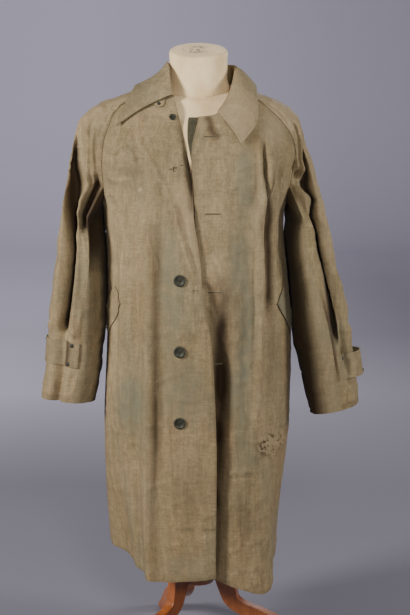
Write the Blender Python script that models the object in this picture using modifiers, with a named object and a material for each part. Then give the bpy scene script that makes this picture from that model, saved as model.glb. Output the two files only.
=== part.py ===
"""Raincoat with raglan sleeves on a limbless dress form with a wooden tripod, about 1.4 m tall.

Metres, +Z up. The front faces -Y and the wearer's left is +X. The origin lies on the floor,
under the middle of the whole object. Angles round the body start at the front centre: 90 degrees
is the wearer's left side, 180 the back and -90 the wearer's right side.
"""
import math

import bmesh
import bpy
import numpy as np
from mathutils import Matrix, Vector

# Driving sizes
STAND_AXIS = (-0.0098, -0.0280, 0.0)
CLOTH = 0.0015
COLLAR_CLOTH = 0.0020
STRAP_CLOTH = 0.0020
SEAM_GAP = 0.0003
EASE = 0.0005
STRAP_EASE = 0.0020
BUTTON_EASE = 0.0007
UNDER_SEAM_INSET = 0.0013
SQUARENESS = 2.3
SIDES = {"right": -1, "left": 1}

# Body of the coat: half widths and depths from the stand's axis at each height
BODY = (
    ("z", "right", "left", "front", "back"),
    (0.170, 0.200, 0.185, 0.186, 0.172),
    (0.260, 0.207, 0.186, 0.185, 0.172),
    (0.380, 0.214, 0.195, 0.183, 0.170),
    (0.540, 0.215, 0.209, 0.180, 0.164),
    (0.640, 0.211, 0.212, 0.179, 0.158),
    (0.730, 0.206, 0.213, 0.178, 0.153),
    (0.820, 0.203, 0.2095, 0.177, 0.149),
    (0.900, 0.203, 0.202, 0.174, 0.145),
    (0.980, 0.206, 0.194, 0.167, 0.141),
    (1.050, 0.213, 0.201, 0.157, 0.136),
    (1.085, 0.2227, 0.2185, 0.151, 0.132),
    (1.125, 0.230, 0.2295, 0.146, 0.127),
    (1.160, 0.231, 0.2385, 0.139, 0.121),
    (1.192, 0.227, 0.233, 0.128, 0.115),
    (1.220, 0.2176, 0.2176, 0.115, 0.109),
    (1.2475, 0.205, 0.194, 0.102, 0.103),
    (1.268, 0.184, 0.166, 0.088, 0.098),
    (1.286, 0.142, 0.140, 0.076, 0.093),
    (1.302, 0.112, 0.112, 0.068, 0.089),
    (1.330, 0.090, 0.090, 0.062, 0.086),
)

# Front edges of the two fronts, read from the hem upwards
FRONT_EDGE = {
    "right": (
        ("z", "x"),
        (0.226, 0.040), (0.585, 0.040), (0.700, 0.0345), (0.747, 0.031), (0.799, 0.023), (0.869, 0.012),
        (0.936, 0.006), (1.020, -0.006), (1.121, -0.0135), (1.1715, -0.024), (1.218, -0.034),
        (1.251, -0.042), (1.287, -0.051),
    ),
    "left": (
        ("z", "x"),
        (0.213, 0.012), (0.600, 0.010), (0.800, 0.004), (0.900, 0.000), (1.017, -0.004), (1.088, -0.008),
        (1.136, -0.012), (1.166, -0.0126), (1.189, -0.010), (1.224, -0.001), (1.242, 0.0026),
    ),
}
NECK_CORNER_Z = {"right": 1.287, "left": 1.242}
NECKLINE_RISE = {
    "right": (("across", "z"), (0.0, 0.0), (0.5, 0.002), (1.0, 0.0)),
    "left": (("across", "z"), (0.0, 0.0), (0.2, -0.006), (0.35, -0.001), (0.6, 0.006), (1.0, 0.0)),
}
BACK_NECK_RISE = 0.014

# Hem heights by the angle round the body
HEM = {
    "front_right": (("angle", "z"), (-90, 0.258), (-58, 0.246), (-40, 0.228), (-28, 0.217), (14, 0.226)),
    "front_left": (
        ("angle", "z"),
        (0, 0.213), (12, 0.212), (27, 0.195), (45, 0.178), (64, 0.196), (90, 0.226),
    ),
    "back": (("angle", "z"), (90, 0.226), (135, 0.232), (180, 0.238), (225, 0.248), (270, 0.258)),
}

# Folds of the body: ridges stand out and troughs go in, along a line from the top to the foot
FOLD_COLUMNS = ("top_angle", "low_angle", "top_z", "low_z", "width", "top_depth", "low_depth")
FOLDS = {
    "front_right": (
        (-27, -28, 1.06, 0.10, 4.5, 0.006, 0.016),
        (-19, -20, 1.04, 0.25, 5.0, -0.005, -0.003),
        (-36, -37, 0.90, 0.10, 5.0, -0.004, -0.010),
        (-60, -62, 0.62, 0.00, 21.0, 0.000, -0.056),
        (-64, -60, 1.05, 0.45, 7.0, -0.006, -0.004),
    ),
    "front_left": (
        (41, 34, 1.18, 0.52, 4.5, 0.016, 0.006),
        (50, 43, 1.17, 0.60, 4.5, -0.016, -0.005),
        (10, 8.5, 0.92, 0.10, 7.5, -0.020, -0.022),
        (44, 48, 0.56, 0.05, 15.0, 0.000, 0.026),
        (80, 78, 0.52, 0.05, 12.0, 0.000, -0.018),
    ),
    "back": (
        (140, 135, 0.98, 0.00, 7.0, 0.004, 0.016),
        (155, 153, 0.98, 0.05, 8.0, -0.004, -0.014),
        (176, 180, 1.02, 0.00, 7.0, 0.004, 0.014),
        (201, 204, 0.98, 0.05, 8.0, -0.004, -0.013),
        (222, 226, 0.98, 0.00, 7.0, 0.004, 0.016),
        (80, 78, 0.52, 0.05, 12.0, 0.000, -0.018),
        (300, 298, 0.62, 0.00, 21.0, 0.000, -0.056),
    ),
}
OVERLAP_LIFT = {"right": 0.0065, "left": -0.0030}
OVERLAP_REACH = 22.0
OVERLAP_ENDS_Z = (1.00, 1.12)
FOLD_START = 0.10
FOLD_END = 0.06

# Raglan seam and ridge of the shoulder, from the neck (0) to the underarm notch (8)
RAGLAN_STATIONS = 8
RAGLAN = {
    "right": (
        ("station", "seam_x", "seam_z", "ridge_x", "ridge_z"),
        (0, 0.085, 1.3000, 0.085, 1.316), (1, 0.125, 1.2850, 0.130, 1.300), (2, 0.160, 1.2690, 0.172, 1.284),
        (3, 0.182, 1.2475, 0.210, 1.270), (4, 0.195, 1.2200, 0.243, 1.252), (5, 0.205, 1.1920, 0.265, 1.229),
        (6, 0.2095, 1.1600, 0.274, 1.190), (7, 0.2105, 1.1250, 0.282, 1.140),
        (8, 0.208, 1.0850, 0.291, 1.092),
    ),
    "left": (
        ("station", "seam_x", "seam_z", "ridge_x", "ridge_z"),
        (0, 0.085, 1.3000, 0.085, 1.312), (1, 0.115, 1.2860, 0.120, 1.297), (2, 0.145, 1.2680, 0.155, 1.282),
        (3, 0.172, 1.2450, 0.188, 1.267), (4, 0.195, 1.2190, 0.212, 1.251), (5, 0.210, 1.1930, 0.229, 1.228),
        (6, 0.216, 1.1600, 0.240, 1.185), (7, 0.211, 1.1250, 0.255, 1.138), (8, 0.204, 1.0850, 0.268, 1.090),
    ),
}
UNDERARM_Z = {"right": 1.048, "left": 1.042}
EDGE_BESIDE_ARMHOLE = 0.035

# Sleeves below the underarm: outer and inner outline, depth, and where the under seams run (0 inner, 1 outer)
SLEEVE_END = 16
SLEEVE_COLUMNS = ("station", "out_x", "out_z", "in_x", "in_z", "front", "back", "front_seam", "back_seam")
SLEEVE = {
    "right": (
        SLEEVE_COLUMNS,
        (9, 0.2995, 1.045, 0.2270, 1.012, -0.084, 0.084, 0.20, 0.22),
        (10, 0.3110, 0.970, 0.2170, 0.950, -0.096, 0.094, 0.22, 0.26),
        (11, 0.3230, 0.890, 0.2120, 0.872, -0.101, 0.082, 0.27, 0.30),
        (12, 0.3345, 0.800, 0.2115, 0.788, -0.101, 0.064, 0.32, 0.34),
        (13, 0.3380, 0.753, 0.2120, 0.743, -0.099, 0.052, 0.34, 0.36),
        (14, 0.3420, 0.700, 0.2150, 0.690, -0.096, 0.040, 0.36, 0.38),
        (15, 0.3475, 0.650, 0.2250, 0.642, -0.093, 0.028, 0.38, 0.40),
        (16, 0.3535, 0.606, 0.2345, 0.599, -0.090, 0.018, 0.40, 0.42),
    ),
    "left": (
        SLEEVE_COLUMNS,
        (9, 0.2800, 1.045, 0.2150, 1.006, -0.084, 0.084, 0.28, 0.24),
        (10, 0.2980, 0.965, 0.2065, 0.942, -0.096, 0.094, 0.38, 0.26),
        (11, 0.3155, 0.885, 0.2120, 0.862, -0.103, 0.080, 0.50, 0.28),
        (12, 0.3330, 0.800, 0.2170, 0.778, -0.106, 0.060, 0.60, 0.30),
        (13, 0.3430, 0.745, 0.2260, 0.720, -0.106, 0.046, 0.62, 0.32),
        (14, 0.3520, 0.690, 0.2370, 0.662, -0.104, 0.034, 0.62, 0.34),
        (15, 0.3580, 0.645, 0.2480, 0.614, -0.101, 0.022, 0.62, 0.36),
        (16, 0.3630, 0.598, 0.2590, 0.569, -0.098, 0.012, 0.62, 0.38),
    ),
}

# Long troughs and ridges of the upper sleeves: angle over the arch (0 front seam, 180 back seam), by station
SLEEVE_FOLD_COLUMNS = ("top_angle", "low_angle", "top", "low", "width", "depth")
SLEEVE_FOLDS = {
    "right": (
        (44, 32, 5.5, 17.5, 11, -0.019), (68, 58, 6.0, 13.0, 10, 0.005), (120, 132, 7.0, 15.0, 14, -0.008),
    ),
    "left": (
        (40, 27, 6.5, 14.4, 11, -0.018), (64, 52, 6.5, 13.0, 10, 0.005), (122, 130, 7.0, 15.0, 14, -0.008),
    ),
}

# Collar: the fold and the outer edge at each section, from the right front end round the back to the left
COLLAR = (
    ("section", "fold_x", "fold_y", "fold_z", "edge_x", "edge_y", "edge_z", "bow"),
    (0, -0.053, -0.082, 1.291, -0.176, -0.087, 1.222, 0.007),
    (1, -0.0500, -0.063, 1.318, -0.162, -0.064, 1.262, 0.004),
    (2, -0.0530, -0.031, 1.350, -0.143, -0.026, 1.299, -0.004),
    (3, -0.0585, 0.010, 1.368, -0.134, 0.016, 1.307, -0.006),
    (4, -0.059, 0.062, 1.367, -0.108, 0.090, 1.292, -0.004),
    (5, 0.000, 0.090, 1.365, 0.000, 0.113, 1.282, -0.003),
    (6, 0.062, 0.062, 1.362, 0.108, 0.088, 1.289, -0.003),
    (7, 0.079, 0.004, 1.354, 0.129, 0.012, 1.308, 0.004),
    (8, 0.076, -0.034, 1.327, 0.133, -0.055, 1.278, 0.005),
    (9, 0.061, -0.075, 1.285, 0.130, -0.103, 1.228, 0.006),
    (10, 0.043, -0.101, 1.255, 0.096, -0.133, 1.184, 0.005),
)
COLLAR_JOINS = (0, 1.5, 3.8, 6.2, 8.5, 10)
COLLAR_CORE = (0.0, 0.01, 1.18)
COLLAR_LIFT = 0.0026
COLLAR_FRONT_START = {"right": 0.10, "left": 0.26}
STAND_SHARE = 0.30
BEND_BEFORE_FOLD = 0.12
BEND_AFTER_FOLD = 0.16

# Sewn-on pieces and buttons
STRAP = {
    "right": {"stations": (13.15, 14.2), "angles": (4, 150), "loop": 0.0, "loop_angle": 70},
    "left": {"stations": (13.45, 14.55), "angles": (6, 150), "loop": 0.013, "loop_angle": 62},
}
STRAP_LOOP_WIDTH = 30
# The welt's front edge runs from its top down to its foot; across it, it turns back and rises
WELT = {"top_z": 0.832, "low_z": 0.756, "top_angle": 53.5, "low_angle": 75.5, "turn": 12.5, "rise": 0.034}
WELT_EASE = 0.0016
FACING_WIDTH = 0.021
FACING_TUCK = 0.012
FACING_TAPER = 0.01
FACING_TOP_Z = 1.240
FACING_LOW_Z = 1.150
BUTTON_RADIUS = 0.0130
BUTTON_THICKNESS = 0.0042
BUTTON_PROFILE = ((0.0, 0.62), (0.62, 0.62), (0.72, 1.0), (0.92, 1.0),
                  (1.0, 0.75), (1.0, 0.25), (0.9, 0.0), (0.0, 0.0))
SEAT_REACH = 0.004
BUTTONS = (
    ("front_button_1", -0.0370, 0.892),
    ("front_button_2", -0.0373, 0.736),
    ("front_button_3", -0.0377, 0.578),
)
COLLAR_BUTTON = ("collar_button", -0.0536, 1.240)
COLLAR_BUTTON_RADIUS = 0.0075

# Dress form: half width, front and back depth and forward tilt of each ring
FORM = (
    ("z", "wide", "front", "back", "front_tilt", "back_tilt"),
    (0.620, 0.150, 0.100, 0.105, 0.0, 0.0),
    (0.650, 0.166, 0.112, 0.118, 0.0, 0.0),
    (0.720, 0.172, 0.116, 0.124, 0.0, 0.0),
    (0.880, 0.150, 0.108, 0.102, 0.0, 0.0),
    (1.000, 0.168, 0.122, 0.108, 0.0, 0.0),
    (1.080, 0.178, 0.138, 0.112, 0.0, 0.0),
    (1.150, 0.190, 0.131, 0.110, 0.0, 0.0),
    (1.200, 0.196, 0.116, 0.100, 0.02, 0.0),
    (1.240, 0.194, 0.098, 0.088, 0.12, 0.0),
)
FORM_SHOULDER_STATIONS = (3, 2, 1)
FORM_SHOULDER_DEPTHS = ((0.084, 0.062, 0.20, 0.0), (0.078, 0.062, 0.27, 0.0), (0.072, 0.064, 0.31, 0.04))
NECK = (
    ("z", "wide", "deep"),
    (1.3010, 0.0700, 0.0640),
    (1.3150, 0.0655, 0.0600),
    (1.3400, 0.0645, 0.0575),
    (1.3650, 0.0645, 0.0565),
    (1.3820, 0.0637, 0.0555),
    (1.3865, 0.0600, 0.0520),
)
NECK_TILT = 0.30
NECK_X = 0.0025
NECK_Y = (0.004, 0.014)

# Wooden stand: turned column and hub, and three cabriole legs given as (reach, height) outlines
COLUMN_RADIUS = 0.019
HUB_PROFILE = ((0.030, 0.330), (0.040, 0.322), (0.040, 0.300), (0.034, 0.288), (0.042, 0.270),
               (0.042, 0.168), (0.036, 0.158), (0.020, 0.152))
LEG_ANGLES = (-132, -12, 108)
LEG_THICKNESS = 0.024
LEG_UPPER = ((0.0425, 0.250), (0.070, 0.242), (0.088, 0.216), (0.090, 0.176), (0.093, 0.146), (0.104, 0.120),
             (0.166, 0.096), (0.226, 0.068), (0.264, 0.030), (0.288, 0.011), (0.290, 0.000))
LEG_LOWER = ((0.246, 0.000), (0.236, 0.012), (0.196, 0.050), (0.136, 0.074), (0.100, 0.087),
             (0.067, 0.111), (0.050, 0.148), (0.0425, 0.170))

# Mesh density
SIDE_ROWS, ARMHOLE_ROWS = 12, 3
FRONT_COLUMNS, BACK_COLUMNS = 17, 24
ARCH_COLUMNS, UNDER_COLUMNS = 15, 7
COLLAR_STEPS, COLLAR_COLUMNS = 3, 9
STRAP_ROWS = 3
WELT_ROWS, WELT_COLUMNS = 5, 3
FACING_ROWS, FACING_COLUMNS = 5, 4
NECKLINE_POINTS = 19
FORM_SIDES = 32
BUTTON_SIDES = 20
COLUMN_SIDES = 24
NORMAL_STATION_STEP = 0.02
NORMAL_ANGLE_STEP = 0.5
SHARP_ANGLE = 50
MERGE = 0.0001


def column(table, name, at):
    """A named column of a table at given values of its first column, on a smooth curve through the rows."""
    names, rows = table[0], np.array(table[1:], float)
    xs = rows[:, 0]
    ys = rows[:, names.index(name)]
    slopes = np.gradient(ys, xs)
    at = np.clip(np.asarray(at, float), xs[0], xs[-1])
    low = np.clip(np.searchsorted(xs, at, side="right") - 1, 0, len(xs) - 2)
    span = xs[low + 1] - xs[low]
    t = (at - xs[low]) / span
    start = (1 + 2 * t) * (1 - t) ** 2 * ys[low] + t * (1 - t) ** 2 * span * slopes[low]
    end = t ** 2 * (3 - 2 * t) * ys[low + 1] + t ** 2 * (t - 1) * span * slopes[low + 1]
    return start + end


def fade(value, low, high):
    """A smooth step from 0 at low to 1 at high."""
    t = np.clip((value - low) / (high - low), 0, 1)
    return t * t * (3 - 2 * t)


def unit(vectors):
    return vectors / np.maximum(np.linalg.norm(vectors, axis=-1, keepdims=True), 1e-12)


# Surface of the coat's body

def half_width(x_sign, z):
    return np.where(x_sign < 0, column(BODY, "right", z), column(BODY, "left", z))


def angle_at(x, z):
    """The angle round the front of the body where its surface passes a given x."""
    ratio = np.clip(np.abs(x) / half_width(x, z), 0, 1)
    return np.degrees(np.sign(x) * np.arcsin(ratio ** (SQUARENESS / 2)))


def fold_depth(rows, angle, z):
    """How far the folds of one piece move its surface out at an angle and a height."""
    total = np.zeros(np.broadcast(angle, z).shape)
    for row in rows:
        fold = dict(zip(FOLD_COLUMNS, row))
        down = np.clip((fold["top_z"] - z) / (fold["top_z"] - fold["low_z"]), 0, 1)
        middle = fold["top_angle"] + down * (fold["low_angle"] - fold["top_angle"])
        depth = fold["top_depth"] + down * (fold["low_depth"] - fold["top_depth"])
        across = np.exp(-((angle - middle) / fold["width"]) ** 2)
        start = fade(fold["top_z"] - z, 0, FOLD_START)
        end = fade(z - fold["low_z"], -FOLD_END, FOLD_END)
        total += depth * across * start * end
    return total


def body_point(angle, z, out=0.0):
    """Points of the body's rounded outline at angles and heights, moved out along its level normal."""
    turn = np.radians(angle)
    wide = half_width(np.sin(turn), z)
    deep = np.where(np.cos(turn) > 0, column(BODY, "front", z), column(BODY, "back", z))
    power = 2 / SQUARENESS
    x = wide * np.sign(np.sin(turn)) * np.abs(np.sin(turn)) ** power
    y = -deep * np.sign(np.cos(turn)) * np.abs(np.cos(turn)) ** power
    steep = SQUARENESS - 1
    normal = np.stack([np.sign(x) * np.abs(x / wide) ** steep / wide,
                       np.sign(y) * np.abs(y / deep) ** steep / deep, np.zeros_like(x)], axis=-1)
    return np.stack([x, y, z + np.zeros_like(x)], axis=-1) + unit(normal) * np.asarray(out)[..., None]


def seam_angle(side, station, facing):
    """Angle of a raglan seam at a station, on the front (facing 1) or the back (facing -1)."""
    x = column(RAGLAN[side], "seam_x", station)
    z = column(RAGLAN[side], "seam_z", station)
    front = np.abs(angle_at(SIDES[side] * x, z))
    return np.where(facing > 0, front, 180 - front)


def outer_seam(side, step, facing, hem):
    """Angle and height along a panel's outer boundary.

    Steps 0 to 1 follow the side seam up, 1 to 2 the armhole's foot and 2 to 3 the raglan seam to the neck.
    """
    step = np.asarray(step, float)
    notch_angle = seam_angle(side, RAGLAN_STATIONS, facing)
    notch_z = column(RAGLAN[side], "seam_z", RAGLAN_STATIONS)
    turn = np.radians(90 * np.clip(step - 1, 0, 1))
    station = RAGLAN_STATIONS * (3 - np.clip(step, 2, 3))
    foot_angle = 90 + (notch_angle - 90) * np.sin(turn)
    foot_z = UNDERARM_Z[side] + (notch_z - UNDERARM_Z[side]) * (1 - np.cos(turn))
    side_z = hem + (UNDERARM_Z[side] - hem) * np.clip(step, 0, 1)
    angle = np.where(step < 2, foot_angle, seam_angle(side, station, facing))
    z = np.where(step < 1, side_z, np.where(step < 2, foot_z, column(RAGLAN[side], "seam_z", station)))
    return angle, z


def front_edge(side, step):
    """Angle and height along a front's edge, at the same steps as its outer boundary."""
    table = FRONT_EDGE[side]
    low_z = table[1][0]
    armhole_z = UNDERARM_Z[side]
    heights = (low_z, armhole_z, armhole_z + EDGE_BESIDE_ARMHOLE, NECK_CORNER_Z[side])
    z = np.interp(step, (0, 1, 2, 3), heights)
    return angle_at(column(table, "x", z), z), z


def front_place(side, step, across):
    """Angle and height of a front panel's point: across runs from its edge (0) to its outer boundary (1)."""
    name = "front_" + side
    hem = HEM[name]
    sign = SIDES[side]
    edge_angle, edge_z = front_edge(side, step)
    seam, seam_z = outer_seam(side, step, 1, column(hem, "z", sign * 90.0))
    angle = edge_angle + (sign * seam - edge_angle) * across
    z = edge_z + (seam_z - edge_z) * across
    z = z + column(NECKLINE_RISE[side], "z", across) * np.clip(step - 2, 0, 1) ** 2
    low = 1 - np.clip(step, 0, 1)
    level = column(hem, "z", edge_angle) * (1 - across) + column(hem, "z", sign * 90.0) * across
    return angle, z + low ** 2 * (column(hem, "z", angle) - level)


def front_out(side, angle, z):
    """Folds of a front, and its lift over or under the other front along its edge."""
    edge_angle = angle_at(column(FRONT_EDGE[side], "x", z), z)
    near = np.exp(-((angle - edge_angle) / OVERLAP_REACH) ** 2)
    lapped = 1 - fade(z, *OVERLAP_ENDS_Z)
    return fold_depth(FOLDS["front_" + side], angle, z) + OVERLAP_LIFT[side] * near * lapped


def front_surface(side, step, across):
    angle, z = front_place(side, step, across)
    return body_point(angle, z, front_out(side, angle, z))


def back_surface(step, across):
    """Points of the back: across runs from the wearer's left side seam (0) to the right one (1)."""
    hem = HEM["back"]
    left, left_z = outer_seam("left", step, -1, column(hem, "z", 90.0))
    right, right_z = outer_seam("right", step, -1, column(hem, "z", 270.0))
    angle = left + (360 - right - left) * across
    z = left_z + (right_z - left_z) * across
    z = z + BACK_NECK_RISE * np.sin(np.pi * across) * np.clip(step - 2, 0, 1) ** 2
    low = 1 - np.clip(step, 0, 1)
    level = column(hem, "z", 90.0) * (1 - across) + column(hem, "z", 270.0) * across
    z = z + low ** 2 * (column(hem, "z", angle) - level)
    return body_point(angle, z, fold_depth(FOLDS["back"], angle, z))


# Surface of the sleeves

def sleeve_frame(side, station):
    """Front seam, back seam, outer and inner point of a sleeve's section."""
    sign = SIDES[side]
    station = np.asarray(station, float)
    shoulder = np.minimum(station, RAGLAN_STATIONS)
    seam_z = column(RAGLAN[side], "seam_z", shoulder)
    top_front = body_point(sign * seam_angle(side, shoulder, 1), seam_z)
    top_back = body_point(sign * seam_angle(side, shoulder, -1), seam_z)
    ridge_y = 0.5 * (top_front[..., 1] + top_back[..., 1])
    top_outer = np.stack([sign * column(RAGLAN[side], "ridge_x", shoulder), ridge_y,
                          column(RAGLAN[side], "ridge_z", shoulder)], axis=-1)
    armpit_z = UNDERARM_Z[side] + np.zeros_like(station)
    top_inner = body_point(np.full_like(station, sign * 90.0), armpit_z)

    tube = SLEEVE[side]
    read = {name: column(tube, name, station) for name in SLEEVE_COLUMNS[1:]}
    middle = 0.5 * (read["front"] + read["back"])
    low_outer = np.stack([sign * read["out_x"], middle, read["out_z"]], axis=-1)
    low_inner = np.stack([sign * read["in_x"], middle, read["in_z"]], axis=-1)
    low_front = low_inner + (low_outer - low_inner) * read["front_seam"][..., None]
    low_back = low_inner + (low_outer - low_inner) * read["back_seam"][..., None]
    low_front[..., 1] = read["front"]
    low_back[..., 1] = read["back"]

    down = np.clip(station - RAGLAN_STATIONS, 0, 1)[..., None]
    return [top + (low - top) * down for top, low in
            ((top_front, low_front), (top_back, low_back), (top_outer, low_outer), (top_inner, low_inner))]


def arch(front, back, crown, turn):
    """Half an ellipse from the front point over the crown to the back point."""
    middle = 0.5 * (front + back)
    return middle + (front - middle) * np.cos(turn)[..., None] + (crown - middle) * np.sin(turn)[..., None]


def sleeve_fold_depth(side, station, angle):
    total = np.zeros(np.broadcast(station, angle).shape)
    for row in SLEEVE_FOLDS[side]:
        fold = dict(zip(SLEEVE_FOLD_COLUMNS, row))
        down = np.clip((station - fold["top"]) / (fold["low"] - fold["top"]), 0, 1)
        middle = fold["top_angle"] + down * (fold["low_angle"] - fold["top_angle"])
        across = np.exp(-((angle - middle) / fold["width"]) ** 2)
        total += fold["depth"] * across * fade(station, fold["top"] - 1, fold["top"] + 1) * (
            1 - fade(station, fold["low"] - 1, fold["low"] + 1))
    return total


def upper_sleeve(side, stations, angles, out=0.0):
    """Points of an upper sleeve for rows of stations and columns of angles over the arch."""
    station, angle = np.meshgrid(stations, angles, indexing="ij")

    def plain(row, turn):
        front, back, outer, _ = sleeve_frame(side, row)
        return arch(front, back, outer, np.radians(turn))

    lower = np.minimum(station + NORMAL_STATION_STEP, SLEEVE_END)
    higher = np.maximum(station - NORMAL_STATION_STEP, 0)
    down = plain(lower, angle) - plain(higher, angle)
    along = plain(station, angle + NORMAL_ANGLE_STEP) - plain(station, angle - NORMAL_ANGLE_STEP)
    depth = sleeve_fold_depth(side, station, angle) + out
    return plain(station, angle) - SIDES[side] * unit(np.cross(along, down)) * depth[..., None]


def under_sleeve(side, stations, shares):
    """Points of an under sleeve: shares run from the front under seam (0) to the back one (1)."""
    station, share = np.meshgrid(stations, shares, indexing="ij")
    front, back, _, inner = sleeve_frame(side, station)
    points = arch(front, back, inner, np.pi * share)
    facing = np.where(share < 0.5, 1.0, -1.0)
    notch = seam_angle(side, RAGLAN_STATIONS, 1)
    turn = np.arcsin(np.abs(2 * share - 1))
    rim_angle = 90 - (90 - notch) * np.sin(turn) * facing
    notch_z = column(RAGLAN[side], "seam_z", RAGLAN_STATIONS)
    rim_z = UNDERARM_Z[side] + (notch_z - UNDERARM_Z[side]) * (1 - np.cos(turn))
    rim = body_point(SIDES[side] * rim_angle, rim_z)
    down = np.clip(station - RAGLAN_STATIONS, 0, 1)[..., None]
    return rim + (points - rim) * down


# Collar

def neckline(sections):
    """Points of the coat's neck edge at the collar's sections, from the right front end to the left one."""
    top = np.array(3.0)
    turns = np.linspace(0, 180, NECKLINE_POINTS)
    shares = np.linspace(0, 1, NECKLINE_POINTS)
    right = COLLAR_FRONT_START["right"]
    left = COLLAR_FRONT_START["left"]
    stretches = (
        front_surface("right", top, right + (1 - right) * shares),
        upper_sleeve("right", np.zeros(1), turns)[0],
        back_surface(top, 1 - shares),
        upper_sleeve("left", np.zeros(1), turns)[0][::-1],
        front_surface("left", top, 1 + (left - 1) * shares),
    )
    points = np.zeros((len(sections), 3))
    for stretch, first, last in zip(stretches, COLLAR_JOINS, COLLAR_JOINS[1:]):
        inside = (sections >= first) & (sections <= last)
        share = (sections[inside] - first) / (last - first)
        for axis in range(3):
            points[inside, axis] = np.interp(share, shares, stretch[:, axis])
    return points


def collar_surface(sections, shares):
    """Points of the collar: up the stand from the neck edge, over the fold and down the fall."""
    seam = neckline(sections)
    fold = np.stack([column(COLLAR, "fold_" + axis, sections) for axis in "xyz"], axis=-1)
    outer = np.stack([column(COLLAR, "edge_" + axis, sections) for axis in "xyz"], axis=-1)
    away = unit(0.5 * (fold + outer) - np.array(COLLAR_CORE)) * column(COLLAR, "bow", sections)[:, None]
    seam = seam + unit(fold - seam) * COLLAR_LIFT
    share = np.asarray(shares)[None, :, None]
    seam, fold, outer, away = seam[:, None], fold[:, None], outer[:, None], away[:, None]
    stand = seam + (fold - seam) * np.clip(share / STAND_SHARE, 0, 1)
    fallen = np.clip((share - STAND_SHARE) / (1 - STAND_SHARE), 0, 1)
    fall = fold + (outer - fold) * fallen
    bend_start = STAND_SHARE - BEND_BEFORE_FOLD
    bend_end = STAND_SHARE + BEND_AFTER_FOLD
    t = np.clip((share - bend_start) / (bend_end - bend_start), 0, 1)
    entry = seam + (fold - seam) * bend_start / STAND_SHARE
    leave = fold + (outer - fold) * (bend_end - STAND_SHARE) / (1 - STAND_SHARE)
    bend = (1 - t) ** 2 * entry + 2 * t * (1 - t) * fold + t ** 2 * leave
    plain = np.where(share < bend_start, stand, np.where(share > bend_end, fall, bend))
    return plain + away * np.sin(np.pi * fallen)


# Turning surfaces into objects

def inset(points, first_row=0.0, last_row=0.0, first_column=0.0, last_column=0.0):
    """Draw the edges of a sheet of points in, so that neighbouring pieces stay a seam's gap apart."""
    moved = points.copy()
    moved[0] += unit(points[1] - points[0]) * first_row
    moved[-1] += unit(points[-2] - points[-1]) * last_row
    moved[:, 0] += unit(points[:, 1] - points[:, 0]) * first_column
    moved[:, -1] += unit(points[:, -2] - points[:, -1]) * last_column
    return moved


def material(name, colour, roughness):
    made = bpy.data.materials.new(name)
    made.use_nodes = True
    shader = made.node_tree.nodes["Principled BSDF"]
    shader.inputs["Base Color"].default_value = (*colour, 1)
    shader.inputs["Roughness"].default_value = roughness
    made.diffuse_color = (*colour, 1)
    return made


def place(name, data, finish):
    """Add an object to the part's collection, under the stand's axis."""
    made = bpy.data.objects.new(name, data)
    data.materials.append(finish)
    PART.objects.link(made)
    made.parent = ROOT
    return made


def cloth(name, points, wall, finish):
    """A cloth piece: a grid of faces through rows of points, and a wall of cloth behind their outer side."""
    rows, columns = points.shape[:2]
    sheet = bmesh.new()
    bmesh.ops.create_grid(sheet, x_segments=columns - 1, y_segments=rows - 1, size=0.5)
    for vertex, point in zip(sheet.verts, points.reshape(-1, 3)):
        vertex.co = point
    sheet.normal_update()
    data = bpy.data.meshes.new(name)
    sheet.to_mesh(data)
    sheet.free()
    data.shade_smooth()
    made = place(name, data, finish)
    thick = made.modifiers.new("wall", "SOLIDIFY")
    thick.thickness = wall
    thick.offset = -1
    thick.use_quality_normals = True
    return made


def ring_solid(name, rings, finish):
    """A closed solid lofted through rings of points, listed from the bottom up."""
    solid = bmesh.new()
    loops = [[solid.verts.new(point) for point in ring] for ring in rings]
    count = len(loops[0])
    for low, high in zip(loops, loops[1:]):
        for i in range(count):
            solid.faces.new((low[i], low[(i + 1) % count], high[(i + 1) % count], high[i]))
    solid.faces.new(list(reversed(loops[0])))
    solid.faces.new(loops[-1])
    bmesh.ops.recalc_face_normals(solid, faces=solid.faces[:])
    data = bpy.data.meshes.new(name)
    solid.to_mesh(data)
    solid.free()
    data.shade_smooth()
    data.set_sharp_from_angle(angle=math.radians(SHARP_ANGLE))
    return place(name, data, finish)


def panel_steps():
    side = np.linspace(0, 1, SIDE_ROWS + 1)
    armhole = np.linspace(1, 2, ARMHOLE_ROWS + 1)[1:]
    raglan = np.linspace(2, 3, RAGLAN_STATIONS + 1)[1:]
    return np.concatenate([side, armhole, raglan])


def make_fronts(finish):
    for side in SIDES:
        step, across = np.meshgrid(panel_steps(), np.linspace(0, 1, FRONT_COLUMNS + 1), indexing="ij")
        points = front_surface(side, step, across)
        points = inset(points, last_row=2 * SEAM_GAP, last_column=2 * SEAM_GAP)
        if side == "right":
            points = points[:, ::-1]
        cloth("front_" + side, points, CLOTH, finish)


def make_back(finish):
    step, across = np.meshgrid(panel_steps(), np.linspace(0, 1, BACK_COLUMNS + 1), indexing="ij")
    points = inset(back_surface(step, across), last_row=2 * SEAM_GAP,
                   first_column=2 * SEAM_GAP, last_column=2 * SEAM_GAP)
    cloth("back", points, CLOTH, finish)


def make_sleeves(finish):
    for side in SIDES:
        stations = np.arange(SLEEVE_END + 1)
        upper = upper_sleeve(side, stations, np.linspace(0, 180, ARCH_COLUMNS + 1))
        upper = inset(upper, 2 * SEAM_GAP, 0.0, UNDER_SEAM_INSET, UNDER_SEAM_INSET)
        under = under_sleeve(side, stations[RAGLAN_STATIONS:], np.linspace(0, 1, UNDER_COLUMNS + 1))
        under = inset(under, 2 * SEAM_GAP, 0.0, UNDER_SEAM_INSET, UNDER_SEAM_INSET)
        if side == "left":
            upper = upper[::-1]
        else:
            under = under[::-1]
        cloth(f"sleeve_{side}_upper", upper, CLOTH, finish)
        cloth(f"sleeve_{side}_under", under, CLOTH, finish)


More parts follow.
